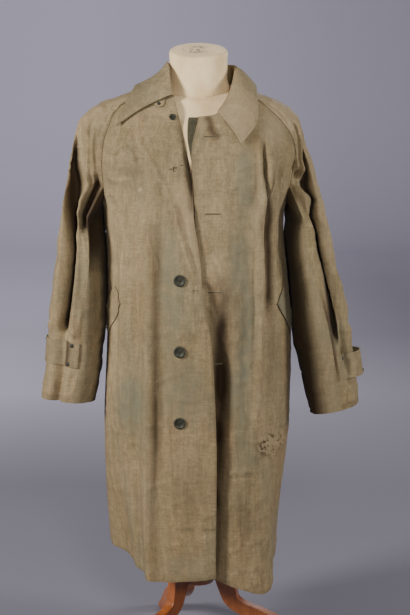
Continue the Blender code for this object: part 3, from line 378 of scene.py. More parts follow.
# Folds across the sleeves, by station and angle over the arch, with their widths in both directions
SLEEVE_CREASE_COLUMNS = ("s0", "a0", "s1", "a1", "wide_s", "wide_a", "depth")
SLEEVE_CREASES = {
    "right": (
        (6.2, 70, 10.8, 50, 0.8, 6.0, 0.0070), (10.2, 50, 13.2, 64, 0.8, 6.0, 0.0060),
        (7.5, 25, 14.0, 14, 0.8, 5.0, 0.0050), (4.4, 36, 8.9, 15, 0.5, 3.6, -0.0075),
        (4.6, 45, 9.2, 24, 0.5, 3.6, 0.0050), (5.0, 24, 8.3, 9, 0.5, 3.4, 0.0050),
        (7.3, 2, 8.3, 40, 0.22, 9, -0.0040), (8.1, 2, 8.8, 46, 0.22, 10, 0.0040),
        (8.8, 4, 9.6, 36, 0.20, 10, -0.0040), (9.5, 4, 10.0, 40, 0.20, 9, 0.0036),
        (5.4, 60, 8.6, 74, 0.5, 7, -0.0040),
        (6.2, 82, 9.5, 90, 0.6, 7, 0.0036), (7.4, 96, 11.0, 104, 0.6, 8, -0.0036),
        (9.4, 62, 11.4, 80, 0.24, 12, 0.0034),
        (10.2, 60, 11.9, 84, 0.20, 12, -0.0036), (11.0, 66, 12.2, 96, 0.20, 12, 0.0030),
        (11.6, 40, 12.4, 82, 0.16, 12, -0.0030), (12.2, 46, 12.9, 90, 0.14, 12, 0.0026),
        (10.6, 4, 11.4, 22, 0.30, 8, -0.0034), (11.6, 4, 13.0, 16, 0.40, 7, 0.0030),
        (13.4, 8, 15.6, 10, 0.5, 7, -0.0030),
        (14.6, 44, 16.0, 50, 0.5, 8, 0.0034), (14.7, 66, 16.0, 74, 0.5, 8, -0.0034),
        (14.8, 90, 16.0, 98, 0.5, 8, 0.0026),
        (2.0, 30, 4.5, 24, 0.5, 8, -0.0024), (3.0, 50, 5.0, 62, 0.4, 9, 0.0020),
    ),
    "left": (
        (7.0, 38, 13.2, 26, 0.8, 6.0, 0.0080),
        (8.5, 22, 13.0, 11, 0.8, 4.5, 0.0040), (4.2, 34, 7.8, 12, 0.3, 3.6, -0.0080),
        (4.4, 44, 7.8, 22, 0.3, 3.6, 0.0060),
        (6.6, 2, 7.5, 40, 0.24, 9, 0.0110), (7.2, 2, 8.2, 44, 0.20, 9, -0.0120),
        (7.9, 2, 8.8, 48, 0.20, 10, 0.0110),
        (8.6, 2, 9.4, 40, 0.20, 10, -0.0100), (9.3, 2, 9.9, 44, 0.20, 9, 0.0046),
        (5.6, 56, 8.2, 66, 0.5, 7, -0.0040),
        (6.4, 76, 9.6, 84, 0.6, 7, 0.0040), (7.2, 94, 11.2, 102, 0.6, 8, -0.0036),
        (9.2, 58, 10.8, 78, 0.22, 12, 0.0036),
        (10.0, 52, 11.6, 80, 0.20, 12, -0.0036), (10.9, 54, 12.2, 88, 0.20, 12, 0.0034),
        (11.6, 44, 12.8, 80, 0.18, 12, -0.0032), (12.4, 44, 13.2, 84, 0.15, 12, 0.0026),
        (10.2, 4, 11.0, 20, 0.30, 8, 0.0036), (11.2, 4, 12.6, 16, 0.40, 7, -0.0034),
        (12.6, 8, 13.2, 30, 0.20, 8, 0.0030),
        (14.8, 30, 16.0, 34, 0.5, 8, 0.0034), (14.8, 56, 16.0, 62, 0.5, 8, -0.0034),
        (14.8, 84, 16.0, 90, 0.5, 8, 0.0026),
        (1.5, 26, 4.0, 20, 0.5, 8, -0.0024), (2.6, 50, 4.8, 60, 0.4, 9, 0.0020),
    ),
}

# Painted shade along an upper sleeve's front seam: columns as for the folds across it, its strength in the
# last one
SLEEVE_SHADE = {
    "right": ((7.8, 0, 9.8, 0, 0.6, 9.0, 0.90),),
    "left": ((11.2, 4, 14.4, 1, 0.6, 4.5, 0.80),),
}

# Paler share of the cloth on top of the shoulders, partly faded cloth and partly painted highlight, and the
# stations where it ends
SHOULDER_FADE_AND_HIGHLIGHT = {"right": 0.30, "left": 0.75}
SHOULDER_ENDS = (4.0, 6.0)
# A faded stripe down the arm, and dirt on the cuff's last rows
ARM_STRIPE = {"share": 0.15, "angle": 75, "width": 35}
CUFF_DIRT = {"rows": 4, "share": 0.2}

# Deep pleats of the upper sleeves, pushed straight back: columns as for the folds across them
SLEEVE_PLEATS = {
    "right": ((6.2, 68, 10.7, 31, 0.8, 5.0, 0.040), (9.6, 30, 14.2, 42, 0.8, 6.5, 0.038),
              (7.5, 9, 9.6, 10, 0.5, 7.0, 0.030)),
    "left": ((6.2, 50, 10.4, 31, 0.8, 5.0, 0.036), (9.4, 36, 13.2, 6, 0.8, 6.0, 0.042)),
}


def lattice_noise(seed, u, v):
    """Smooth noise between -1 and 1, one cell per unit of u and v."""
    cells = np.random.default_rng(seed).uniform(-1, 1, (64, 64))
    iu = np.floor(u).astype(int)
    iv = np.floor(v).astype(int)
    fu = u - iu
    fv = v - iv
    fu = fu * fu * fu * (fu * (fu * 6 - 15) + 10)
    fv = fv * fv * fv * (fv * (fv * 6 - 15) + 10)

    def cell(du, dv):
        return cells[(iu + du) % 64, (iv + dv) % 64]

    low = cell(0, 0) * (1 - fu) + cell(1, 0) * fu
    high = cell(0, 1) * (1 - fu) + cell(1, 1) * fu
    return low * (1 - fv) + high * fv


# Heights of the cloth's own waviness: long waves, crumple and sharp small folds
WRINKLE = {"wave": 0.0015, "crumple": 0.00045, "sharp": 0.0018}


def small_wrinkles(seed, along, down):
    """Hand-worn waviness of the cloth: long soft upright waves and a finer crumple, in metres."""
    bent = along + 0.012 * lattice_noise(seed, down * 9, along * 6)
    long_waves = lattice_noise(seed + 1, bent * 32, down * 5)
    crumple = lattice_noise(seed + 2, along * 62 + 9 * down, down * 44)
    sharp = 1 - np.abs(lattice_noise(seed + 3, along * 26 + 7 * down, down * 21 - 5 * along))
    return WRINKLE["wave"] * long_waves + WRINKLE["crumple"] * crumple + WRINKLE["sharp"] * (sharp ** 5 - 0.3)


def line_crease(rows, x, z):
    """Sum of tapering creases along straight lines in the x, z plane."""
    total = np.zeros(np.broadcast(x, z).shape)
    for row in rows:
        crease = dict(zip(CREASE_COLUMNS, row))
        along_x = crease["x1"] - crease["x0"]
        along_z = crease["z1"] - crease["z0"]
        length = math.hypot(along_x, along_z)
        share = ((x - crease["x0"]) * along_x + (z - crease["z0"]) * along_z) / length ** 2
        off = ((x - crease["x0"]) * along_z - (z - crease["z0"]) * along_x) / length
        off = off + 0.25 * crease["width"] * np.sin(share * 9 + crease["z0"] * 40)
        taper = fade(share, -0.04, 0.16) * (1 - fade(share, 0.84, 1.04))
        total += crease["depth"] * taper * np.exp(-(off / crease["width"]) ** 2)
    return total


def sleeve_crease(rows, station, angle):
    """Sum of tapering creases of an upper sleeve."""
    total = np.zeros(np.broadcast(station, angle).shape)
    for row in rows:
        crease = dict(zip(SLEEVE_CREASE_COLUMNS, row))
        down = (crease["s1"] - crease["s0"]) / crease["wide_s"]
        round_ = (crease["a1"] - crease["a0"]) / crease["wide_a"]
        length = math.hypot(down, round_)
        s = (station - crease["s0"]) / crease["wide_s"]
        a = (angle - crease["a0"]) / crease["wide_a"]
        share = (s * down + a * round_) / length ** 2
        off = (s * round_ - a * down) / length
        taper = fade(share, -0.10, 0.25) * (1 - fade(share, 0.75, 1.10))
        total += crease["depth"] * taper * np.exp(-off ** 2)
    return total


# Surface of the coat's body

def half_width(x_sign, z):
    return np.where(x_sign < 0, column(BODY, "right", z), column(BODY, "left", z))


def angle_at(x, z):
    """The angle round the front of the body where its surface passes a given x."""
    ratio = np.clip(np.abs(x) / half_width(x, z), 0, 1)
    return np.degrees(np.sign(x) * np.arcsin(ratio ** (SQUARENESS / 2)))


def fold_depth(rows, angle, z):
    """How far the large folds of one piece move its surface out at an angle and a height."""
    total = np.zeros(np.broadcast(angle, z).shape)
    for row in rows:
        fold = dict(zip(FOLD_COLUMNS, row))
        down = np.clip((fold["top_z"] - z) / (fold["top_z"] - fold["low_z"]), 0, 1)
        middle = fold["top_angle"] + down * (fold["low_angle"] - fold["top_angle"])
        depth = fold["top_depth"] + down * (fold["low_depth"] - fold["top_depth"])
        across = np.exp(-((angle - middle) / fold["width"]) ** 2)
        start = fade(fold["top_z"] - z, 0, FOLD_START)
        end = fade(z - fold["low_z"], -FOLD_END, FOLD_END)
        total += depth * across * start * end
    return total


def body_point(angle, z, out=0.0):
    """Points of the body's rounded outline at angles and heights, moved out along its level normal."""
    turn = np.radians(angle)
    wide = half_width(np.sin(turn), z)
    deep = np.where(np.cos(turn) > 0, column(BODY, "front", z), column(BODY, "back", z))
    power = 2 / SQUARENESS
    x = wide * np.sign(np.sin(turn)) * np.abs(np.sin(turn)) ** power
    y = -deep * np.sign(np.cos(turn)) * np.abs(np.cos(turn)) ** power
    steep = SQUARENESS - 1
    normal = np.stack([np.sign(x) * np.abs(x / wide) ** steep / wide,
                       np.sign(y) * np.abs(y / deep) ** steep / deep, np.zeros_like(x)], axis=-1)
    return np.stack([x, y, z + np.zeros_like(x)], axis=-1) + unit(normal) * np.asarray(out)[..., None]


def seam_angle(side, station, facing):
    """Angle of a raglan seam at a station, on the front (facing 1) or the back (facing -1)."""
    x = column(RAGLAN[side], "seam_x", station)
    z = column(RAGLAN[side], "seam_z", station)
    front = np.abs(angle_at(SIDES[side] * x, z))
    return np.where(facing > 0, front, 180 - front)


def outer_seam(side, step, facing, hem):
    """Angle and height along a panel's outer boundary.

    Steps 0 to 1 follow the side seam up, 1 to 2 the armhole's foot and 2 to 3 the raglan seam to the neck.
    """
    step = np.asarray(step, float)
    notch_angle = seam_angle(side, RAGLAN_STATIONS, facing)
    notch_z = column(RAGLAN[side], "seam_z", RAGLAN_STATIONS)
    turn = np.radians(90 * np.clip(step - 1, 0, 1))
    station = RAGLAN_STATIONS * (3 - np.clip(step, 2, 3))
    foot_angle = 90 + (notch_angle - 90) * np.sin(turn)
    foot_z = UNDERARM_Z[side] + (notch_z - UNDERARM_Z[side]) * (1 - np.cos(turn))
    side_z = hem + (UNDERARM_Z[side] - hem) * np.clip(step, 0, 1)
    angle = np.where(step < 2, foot_angle, seam_angle(side, station, facing))
    z = np.where(step < 1, side_z, np.where(step < 2, foot_z, column(RAGLAN[side], "seam_z", station)))
    return angle, z


def front_edge(side, step):
    """Angle and height along a front's edge, at the same steps as its outer boundary."""
    table = FRONT_EDGE[side]
    low_z = table[1][0]
    armhole_z = UNDERARM_Z[side]
    heights = (low_z, armhole_z, armhole_z + EDGE_BESIDE_ARMHOLE, NECK_CORNER_Z[side])
    z = np.interp(step, (0, 1, 2, 3), heights)
    return angle_at(column(table, "x", z), z), z


def front_place(side, step, across):
    """Angle and height of a front panel's point: across runs from its edge (0) to its outer boundary (1)."""
    name = "front_" + side
    hem = HEM[name]
    sign = SIDES[side]
    edge_angle, edge_z = front_edge(side, step)
    seam, seam_z = outer_seam(side, step, 1, column(hem, "z", sign * 90.0))
    angle = edge_angle + (sign * seam - edge_angle) * across
    z = edge_z + (seam_z - edge_z) * across
    z = z + column(NECKLINE_RISE[side], "z", across) * np.clip(step - 2, 0, 1) ** 2
    low = 1 - np.clip(step, 0, 1)
    level = column(hem, "z", edge_angle) * (1 - across) + column(hem, "z", sign * 90.0) * across
    return angle, z + low ** 2 * (column(hem, "z", angle) - level)


def front_out(side, angle, z):
    """Folds of a front, and its lift over or under the other front along its edge."""
    edge_angle = angle_at(column(FRONT_EDGE[side], "x", z), z)
    near = np.exp(-((angle - edge_angle) / OVERLAP_REACH) ** 2)
    lapped = 1 - fade(z, *OVERLAP_ENDS_Z)
    return fold_depth(FOLDS["front_" + side], angle, z) + OVERLAP_LIFT[side] * near * lapped


# The right front's edge rolls inwards in the open neck, between these heights
EDGE_ROLL = {"starts": (1.03, 1.11), "ends": (1.21, 1.27), "reach": 0.010, "depth": 0.010}
# Length of cloth taken for one radian round the body, for the waviness
BODY_ARC = 0.2
WRINKLE_SEEDS = {"right": 11, "left": 23, "back": 37}
UNDER_COLLAR_Z = (1.17, 1.24)


def front_detail(side, angle, z):
    """Fine creases of a front at an angle and height, as a move out along its normal."""
    x = body_point(angle, z)[..., 0]
    rolled = 0.0
    if side == "right":
        edge_x = column(FRONT_EDGE[side], "x", z)
        span = fade(z, *EDGE_ROLL["starts"]) * (1 - fade(z, *EDGE_ROLL["ends"]))
        rolled = -EDGE_ROLL["depth"] * span * np.exp(-((x - edge_x) / EDGE_ROLL["reach"]) ** 2)
    calm = 1 - 0.8 * fade(z, *UNDER_COLLAR_Z)
    arc = np.radians(angle) * BODY_ARC
    return rolled + calm * (line_crease(CREASES[side], x, z) + small_wrinkles(WRINKLE_SEEDS[side], arc, z))


def front_skin(side, angle, z, out=0.0):
    return body_point(angle, z, front_out(side, angle, z) + front_detail(side, angle, z) + out)


def front_surface(side, step, across):
    angle, z = front_place(side, step, across)
    return body_point(angle, z, front_out(side, angle, z))


def back_place(step, across):
    """Angle and height of the back's points: across runs from the left side seam (0) to the right one (1)."""
    hem = HEM["back"]
    left, left_z = outer_seam("left", step, -1, column(hem, "z", 90.0))
    right, right_z = outer_seam("right", step, -1, column(hem, "z", 270.0))
    angle = left + (360 - right - left) * across
    z = left_z + (right_z - left_z) * across
    z = z + BACK_NECK_RISE * np.sin(np.pi * across) * np.clip(step - 2, 0, 1) ** 2
    low = 1 - np.clip(step, 0, 1)
    level = column(hem, "z", 90.0) * (1 - across) + column(hem, "z", 270.0) * across
    return angle, z + low ** 2 * (column(hem, "z", angle) - level)


def back_surface(step, across):
    angle, z = back_place(step, across)
    return body_point(angle, z, fold_depth(FOLDS["back"], angle, z))


# Surface of the sleeves

def sleeve_frame(side, station):
    """Front seam, back seam, outer and inner point of a sleeve's section."""
    sign = SIDES[side]
    station = np.asarray(station, float)
    shoulder = np.minimum(station, RAGLAN_STATIONS)
    seam_z = column(RAGLAN[side], "seam_z", shoulder)
    top_front = body_point(sign * seam_angle(side, shoulder, 1), seam_z)
    top_back = body_point(sign * seam_angle(side, shoulder, -1), seam_z)
    ridge_y = 0.5 * (top_front[..., 1] + top_back[..., 1])
    top_outer = np.stack([sign * column(RAGLAN[side], "ridge_x", shoulder), ridge_y,
                          column(RAGLAN[side], "ridge_z", shoulder)], axis=-1)
    armpit_z = UNDERARM_Z[side] + np.zeros_like(station)
    top_inner = body_point(np.full_like(station, sign * 90.0), armpit_z)

    tube = SLEEVE[side]
    read = {name: column(tube, name, station) for name in SLEEVE_COLUMNS[1:]}
    middle = 0.5 * (read["front"] + read["back"])
    low_outer = np.stack([sign * read["out_x"], middle, read["out_z"]], axis=-1)
    low_inner = np.stack([sign * read["in_x"], middle, read["in_z"]], axis=-1)
    low_front = low_inner + (low_outer - low_inner) * read["front_seam"][..., None]
    low_back = low_inner + (low_outer - low_inner) * read["back_seam"][..., None]
    low_front[..., 1] = read["front"]
    low_back[..., 1] = read["back"]

    down = np.clip(station - RAGLAN_STATIONS, 0, 1)[..., None]
    return [top + (low - top) * down for top, low in
            ((top_front, low_front), (top_back, low_back), (top_outer, low_outer), (top_inner, low_inner))]


def arch(front, back, crown, turn):
    """Half an ellipse from the front point over the crown to the back point."""
    middle = 0.5 * (front + back)
    return middle + (front - middle) * np.cos(turn)[..., None] + (crown - middle) * np.sin(turn)[..., None]


def sleeve_fold_depth(side, station, angle):
    total = np.zeros(np.broadcast(station, angle).shape)
    for row in SLEEVE_FOLDS[side]:
        fold = dict(zip(SLEEVE_FOLD_COLUMNS, row))
        down = np.clip((station - fold["top"]) / (fold["low"] - fold["top"]), 0, 1)
        middle = fold["top_angle"] + down * (fold["low_angle"] - fold["top_angle"])
        across = np.exp(-((angle - middle) / fold["width"]) ** 2)
        total += fold["depth"] * across * fade(station, fold["top"] - 1, fold["top"] + 1) * (
            1 - fade(station, fold["low"] - 1, fold["low"] + 1))
    return total


def upper_sleeve(side, stations, angles, out=0.0):
    """Points of an upper sleeve for rows of stations and columns of angles over the arch."""
    station, angle = np.meshgrid(stations, angles, indexing="ij")

    def plain(row, turn):
        front, back, outer, _ = sleeve_frame(side, row)
        return arch(front, back, outer, np.radians(turn))

    lower = np.minimum(station + NORMAL_STATION_STEP, SLEEVE_END)
    higher = np.maximum(station - NORMAL_STATION_STEP, 0)
    down = plain(lower, angle) - plain(higher, angle)
    along = plain(station, angle + NORMAL_ANGLE_STEP) - plain(station, angle - NORMAL_ANGLE_STEP)
    depth = sleeve_fold_depth(side, station, angle) + out
    return plain(station, angle) - SIDES[side] * unit(np.cross(along, down)) * depth[..., None]


def under_sleeve(side, stations, shares):
    """Points of an under sleeve: shares run from the front under seam (0) to the back one (1)."""
    station, share = np.meshgrid(stations, shares, indexing="ij")
    front, back, _, inner = sleeve_frame(side, station)
    points = arch(front, back, inner, np.pi * share)
    facing = np.where(share < 0.5, 1.0, -1.0)
    notch = seam_angle(side, RAGLAN_STATIONS, 1)
    turn = np.arcsin(np.abs(2 * share - 1))
    rim_angle = 90 - (90 - notch) * np.sin(turn) * facing
    notch_z = column(RAGLAN[side], "seam_z", RAGLAN_STATIONS)
    rim_z = UNDERARM_Z[side] + (notch_z - UNDERARM_Z[side]) * (1 - np.cos(turn))
    rim = body_point(SIDES[side] * rim_angle, rim_z)
    down = np.clip(station - RAGLAN_STATIONS, 0, 1)[..., None]
    return rim + (points - rim) * down


SLEEVE_SEEDS = {"right": 51, "left": 67}

# The sleeve laps over the front along the raglan seam: rise, angles over the arch, first and last stations
SEAM_LAP = {"rise": 0.0016, "angles": (7.0, 9.0), "starts": (0.4, 1.4), "ends": (7.4, 8.2)}

# Pleats end this many stations above the strap, and shade is painted into them where they are this deep
PLEAT_ENDS_BEFORE_STRAP = 1.2
PLEAT_SHADE = {"depths": (0.004, 0.024), "strength": 0.92}

# The front of an under sleeve falls in, up to a share of its width, and its rear bulges to the body's side;
# shade is painted over it until the hollow ends, and on its inner side from the shade shares on all the way
# down
UNDER_HOLLOW = {
    "right": {"reach": 0.46, "depth": 0.032, "ends": (9.9, 11.0), "painted_shade": 0.95, "shade": (0.26, 0.44)},
    "left": {"reach": 0.46, "depth": 0.014, "ends": (8.4, 9.4), "painted_shade": 0.92, "shade": (0.05, 0.38)},
}
UNDER_STARTS = {"crumple": (8.2, 9.2), "hollow": (8.4, 9.8)}
UNDER_CLEAR = {"gap": 0.0050, "stations": (8.0, 8.8)}
UNDER_GREEN = 0.35
# Cloth length of one station or radian of a sleeve, and of an under sleeve's width, for the waviness
SLEEVE_STEP, UNDER_WIDTH = 0.075, 0.16
SLEEVE_CRUMPLE = {"upper": 1.2, "under": 1.6}
UNDER_BULGE = {"share": 0.60, "width": 0.20, "depth": 0.0150, "starts": (8.1, 9.0), "ends": (12.0, 13.5)}


def body_side(side, y, z):
    """How far out the body's outline stands on one side, at a depth and a height."""
    deep = np.where(y < 0, column(BODY, "front", z), column(BODY, "back", z))
    ratio = np.clip(np.abs(y) / deep, 0, 1)
    return column(BODY, side, z) * (1 - ratio ** SQUARENESS) ** (1 / SQUARENESS)


def sleeve_calm(side, station, angle):
    """1 over an upper sleeve, falling to 0 at its seams, under the collar and under the strap."""
    seams = fade(angle, 0, 7) * (1 - fade(angle, 171, 180)) * fade(station, 0.9, 2.4)
    low, high = STRAP[side]["stations"]
    return seams * (1 - fade(station, low - 0.5, low) * (1 - fade(station, high, high + 0.5)))


def sleeve_detail(side, station, angle):
    """Fine creases of an upper sleeve."""
    crumple = small_wrinkles(SLEEVE_SEEDS[side], np.radians(angle) * SLEEVE_STEP, station * SLEEVE_STEP)
    creases = sleeve_crease(SLEEVE_CREASES[side], station, angle)
    return sleeve_calm(side, station, angle) * (creases + SLEEVE_CRUMPLE["upper"] * crumple)


# Collar

def neckline(sections):
    """Points of the coat's neck edge at the collar's sections, from the right front end to the left one."""
    top = np.array(3.0)
    turns = np.linspace(0, 180, NECKLINE_POINTS)
    shares = np.linspace(0, 1, NECKLINE_POINTS)
    right = COLLAR_FRONT_START["right"]
    left = COLLAR_FRONT_START["left"]
    stretches = (
        front_surface("right", top, right + (1 - right) * shares),
        upper_sleeve("right", np.zeros(1), turns)[0],
        back_surface(top, 1 - shares),
        upper_sleeve("left", np.zeros(1), turns)[0][::-1],
        front_surface("left", top, 1 + (left - 1) * shares),
    )
    points = np.zeros((len(sections), 3))
    for stretch, first, last in zip(stretches, COLLAR_JOINS, COLLAR_JOINS[1:]):
        inside = (sections >= first) & (sections <= last)
        share = (sections[inside] - first) / (last - first)
        for axis in range(3):
            points[inside, axis] = np.interp(share, shares, stretch[:, axis])
    return points


def collar_surface(sections, shares):
    """Points of the collar: up the stand from the neck edge, over the fold and down the fall."""
    seam = neckline(sections)
    fold = np.stack([column(COLLAR, "fold_" + axis, sections) for axis in "xyz"], axis=-1)
    outer = np.stack([column(COLLAR, "edge_" + axis, sections) for axis in "xyz"], axis=-1)
    away = unit(0.5 * (fold + outer) - np.array(COLLAR_CORE)) * column(COLLAR, "bow", sections)[:, None]
    seam = seam + unit(fold - seam) * COLLAR_LIFT
    share = np.asarray(shares)[None, :, None]
    seam, fold, outer, away = seam[:, None], fold[:, None], outer[:, None], away[:, None]
    stand = seam + (fold - seam) * np.clip(share / STAND_SHARE, 0, 1)
    fallen = np.clip((share - STAND_SHARE) / (1 - STAND_SHARE), 0, 1)
    fall = fold + (outer - fold) * fallen
    bend_start = STAND_SHARE - BEND_BEFORE_FOLD
    bend_end = STAND_SHARE + BEND_AFTER_FOLD
    t = np.clip((share - bend_start) / (bend_end - bend_start), 0, 1)
    entry = seam + (fold - seam) * bend_start / STAND_SHARE
    leave = fold + (outer - fold) * (bend_end - STAND_SHARE) / (1 - STAND_SHARE)
    bend = (1 - t) ** 2 * entry + 2 * t * (1 - t) * fold + t ** 2 * leave
    plain = np.where(share < bend_start, stand, np.where(share > bend_end, fall, bend))
    return plain + away * np.sin(np.pi * fallen)


# Turning surfaces into objects

def grid_normals(points):
    """Normals of a sheet of points, on the side where its rows and columns turn anticlockwise."""
    down = np.gradient(points, axis=0)
    along = np.gradient(points, axis=1)
    return unit(np.cross(along, down))


def inset(points, first_row=0.0, last_row=0.0, first_column=0.0, last_column=0.0):
    """Draw the edges of a sheet of points in, so that neighbouring pieces stay a seam's gap apart."""
    moved = points.copy()
    moved[0] += unit(points[1] - points[0]) * first_row
    moved[-1] += unit(points[-2] - points[-1]) * last_row
    moved[:, 0] += unit(points[:, 1] - points[:, 0]) * first_column
    moved[:, -1] += unit(points[:, -2] - points[:, -1]) * last_column
    return moved


def finish_piece(made, slot, *nodes):
    """Let a piece ride on the part and stand for its solids; its slot is not used."""
    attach(made, "root")
    if nodes:
        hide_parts(*nodes)


def new_object(name, data, finish):
    made = bpy.data.objects.new(name, data)
    data.materials.append(finish)
    bpy.context.scene.collection.objects.link(made)
    return made


def shell(name, points, wall, finish, tint=None):
    """A closed cloth sheet: the outer points, the same points a wall further in, and a rim round both.

    The wall may change over the sheet. Tint is a table of colour marks and painted shade for each outer point.
    """
    rows, columns = points.shape[:2]
    normals = grid_normals(points)
    inner = points - normals * np.broadcast_to(wall, (rows, columns))[..., None]
    index = np.arange(rows * columns).reshape(rows, columns)
    quads = np.stack([index[:-1, :-1], index[:-1, 1:], index[1:, 1:], index[1:, :-1]], axis=-1).reshape(-1, 4)
    under = quads[:, ::-1] + rows * columns
    rim = np.concatenate([index[0, :], index[1:, -1], index[-1, -2::-1], index[-2:0:-1, 0]])
    after = np.roll(rim, -1)
    walls = np.stack([after, rim, rim + rows * columns, after + rows * columns], axis=-1)
    faces = np.concatenate([quads, under, walls])
    both = np.concatenate([points.reshape(-1, 3), inner.reshape(-1, 3)]) + np.array(STAND_AXIS)
    data = bpy.data.meshes.new(name)
    data.from_pydata(both.tolist(), [], faces.tolist())
    data.shade_smooth()
    marks = np.zeros((2, rows, columns, 4))
    if tint is not None:
        marks[..., :tint.shape[-1]] = tint
    attribute = data.color_attributes.new("tint", "FLOAT_COLOR", "POINT")
    attribute.data.foreach_set("color", marks.reshape(-1))
    made = new_object(name, data, finish)
    data.set_sharp_from_angle(angle=math.radians(60))
    return made


# Materials

def feed(tree, node, **inputs):
    """Link or set a node's inputs, by name or by number after a letter; set_ names are the node's settings."""
    for key, value in inputs.items():
        if key.startswith("set_"):
            setattr(node, key[4:], value)
            continue
        socket = node.inputs[int(key[1:])] if key[1:].isdigit() else node.inputs[key.replace("_", " ")]
        if isinstance(value, bpy.types.NodeSocket):
            tree.links.new(value, socket)
        else:
            socket.default_value = value
    return node


def add(tree, kind, **inputs):
    return feed(tree, tree.nodes.new(kind), **inputs)


def new_material(name):
    made = bpy.data.materials.new(name)
    made.use_nodes = True
    return made, made.node_tree, made.node_tree.nodes["Principled BSDF"]


def own_place(tree):
    return add(tree, "ShaderNodeTexCoord").outputs["Object"]


def scaled_place(tree, scale):
    return add(tree, "ShaderNodeMapping", Vector=own_place(tree), Scale=scale).outputs["Vector"]


def noise(tree, scale, detail=3.0, rough=0.55):
    """A noise value in the object's own space, stretched by scale."""
    return add(tree, "ShaderNodeTexNoise", Vector=scaled_place(tree, scale), Scale=1.0, Detail=detail,
               Roughness=rough).outputs["Fac"]


def remap(tree, value, low, high, start=0.0, end=1.0):
    return add(tree, "ShaderNodeMapRange", set_clamp=True, Value=value, From_Min=low, From_Max=high,
               To_Min=start, To_Max=end).outputs["Result"]


def mix(tree, factor, first, second, blend="MIX"):
    return add(tree, "ShaderNodeMix", set_data_type="RGBA", set_blend_type=blend, i0=factor, i6=first,
               i7=second).outputs[2]


def times(tree, first, second):
    return add(tree, "ShaderNodeMath", set_operation="MULTIPLY", i0=first, i1=second).outputs[0]


def plus(tree, first, second):
    return add(tree, "ShaderNodeMath", set_operation="ADD", i0=first, i1=second).outputs[0]


def bump(tree, strength, distance, height):
    return add(tree, "ShaderNodeBump", Strength=strength, Distance=distance, Height=height).outputs["Normal"]


# Ribs of the weaves, as scales of their wave textures
WEAVE = {"khaki": 75.0, "cover": 55.0}


def weave_height(tree, scale):
    """Raised threads of a plain weave: upright and level ribs."""
    ribs = [add(tree, "ShaderNodeTexWave", set_bands_direction=axis, Vector=own_place(tree), Scale=scale,
                Distortion=0.6, Detail=1.0).outputs["Fac"] for axis in "XZ"]
    return plus(tree, *ribs)


# Colours of the worn waxed cotton, then of its marks; the dirt mark's colour also paints shade
KHAKI_COLOURS = {
    "base": (0.232, 0.177, 0.093, 1),
    "worn": (0.328, 0.252, 0.142, 1),
    "dull": (0.190, 0.131, 0.063, 1),
    "green": (0.163, 0.152, 0.090, 1),
    "russet": (0.240, 0.145, 0.075, 1),
    "pale_mark": (0.360, 0.275, 0.168, 1),
    "green_mark": (0.150, 0.144, 0.093, 1),
    "dirt_and_shade_mark": (0.034, 0.019, 0.009, 1),
    "speck": (0.040, 0.017, 0.006, 1),
}
# Patches of other colours: the noise's stretch, detail and roughness, its start and full value, and strength
KHAKI_PATCHES = (
    ("green", (11, 11, 5), 3, 0.55, 0.52, 0.70, 0.55),
    ("dull", (26, 26, 9), 5, 0.65, 0.50, 0.72, 0.55),
    ("russet", (19, 19, 6), 5, 0.70, 0.52, 0.66, 0.40),
)
# Streaks along the warp, slubs across it, grain and mottle: the noise, its range, darkest and lightest share
KHAKI_GRAIN = (
    ((150, 150, 9), 5, 0.75, 0.30, 0.70, 0.81, 1.16),
    ((30, 30, 300), 4, 0.70, 0.30, 0.70, 0.86, 1.12),
    ((260, 260, 220), 5, 0.70, 0.28, 0.72, 0.80, 1.18),
    ((75, 75, 48), 5, 0.70, 0.32, 0.68, 0.84, 1.14),
)
# The skirt is duller towards its hem
LOW_SKIRT = {"low_z": 0.35, "high_z": 0.95, "dull": 0.50}


def cloth_material():
    """Worn waxed cotton: blotchy khaki with patches, streaks and slubs, and marks and painted shade from the
    tint attribute.
    """
    made, tree, shader = new_material("waxed_cotton_khaki")
    tone = KHAKI_COLOURS
    blotch = remap(tree, noise(tree, (7, 7, 4), 4), 0.38, 0.64)
    colour = mix(tree, blotch, tone["base"], tone["worn"])
    axis = add(tree, "ShaderNodeSeparateXYZ", Vector=own_place(tree))
    low = remap(tree, axis.outputs["Z"], LOW_SKIRT["low_z"], LOW_SKIRT["high_z"], LOW_SKIRT["dull"], 0.0)
    colour = mix(tree, low, colour, tone["dull"])
    for name, stretch, detail, rough, start, full, strength in KHAKI_PATCHES:
        patch = remap(tree, noise(tree, stretch, detail, rough), start, full)
        colour = mix(tree, times(tree, patch, strength), colour, tone[name])
    shade = 1.0
    for stretch, detail, rough, start, full, dark, light in KHAKI_GRAIN:
        shade = times(tree, shade, remap(tree, noise(tree, stretch, detail, rough), start, full, dark, light))
    colour = mix(tree, 1.0, colour, shade, "MULTIPLY")
    marks = add(tree, "ShaderNodeVertexColor", set_layer_name="tint")
    parts = add(tree, "ShaderNodeSeparateColor", Color=marks.outputs["Color"])
    ragged = remap(tree, noise(tree, (60, 60, 40), 4, 0.65), 0.25, 0.65, 0.35, 1.15)
    colour = mix(tree, times(tree, parts.outputs["Red"], ragged), colour, tone["pale_mark"])
    colour = mix(tree, times(tree, parts.outputs["Green"], ragged), colour, tone["green_mark"])
    # The tint's blue paints dirt, and also shade in folds, pleats and hollows
    colour = mix(tree, parts.outputs["Blue"], colour, tone["dirt_and_shade_mark"])
    specks = remap(tree, noise(tree, (80, 80, 110), 4, 0.75), 0.515, 0.565)
    colour = mix(tree, times(tree, specks, marks.outputs["Alpha"]), colour, tone["speck"])
    rough = remap(tree, noise(tree, (40, 40, 20), 3), 0.3, 0.7, 0.66, 0.86)
    crumple = noise(tree, (95, 95, 70), 4, 0.6)
    height = plus(tree, times(tree, weave_height(tree, WEAVE["khaki"]), 0.10), times(tree, crumple, 0.9))
    feed(tree, shader, Base_Color=colour, Roughness=rough, Specular_IOR_Level=0.18, Sheen_Weight=0.03,
         Sheen_Roughness=0.5, Normal=bump(tree, 0.5, 0.0012, height))
    return made


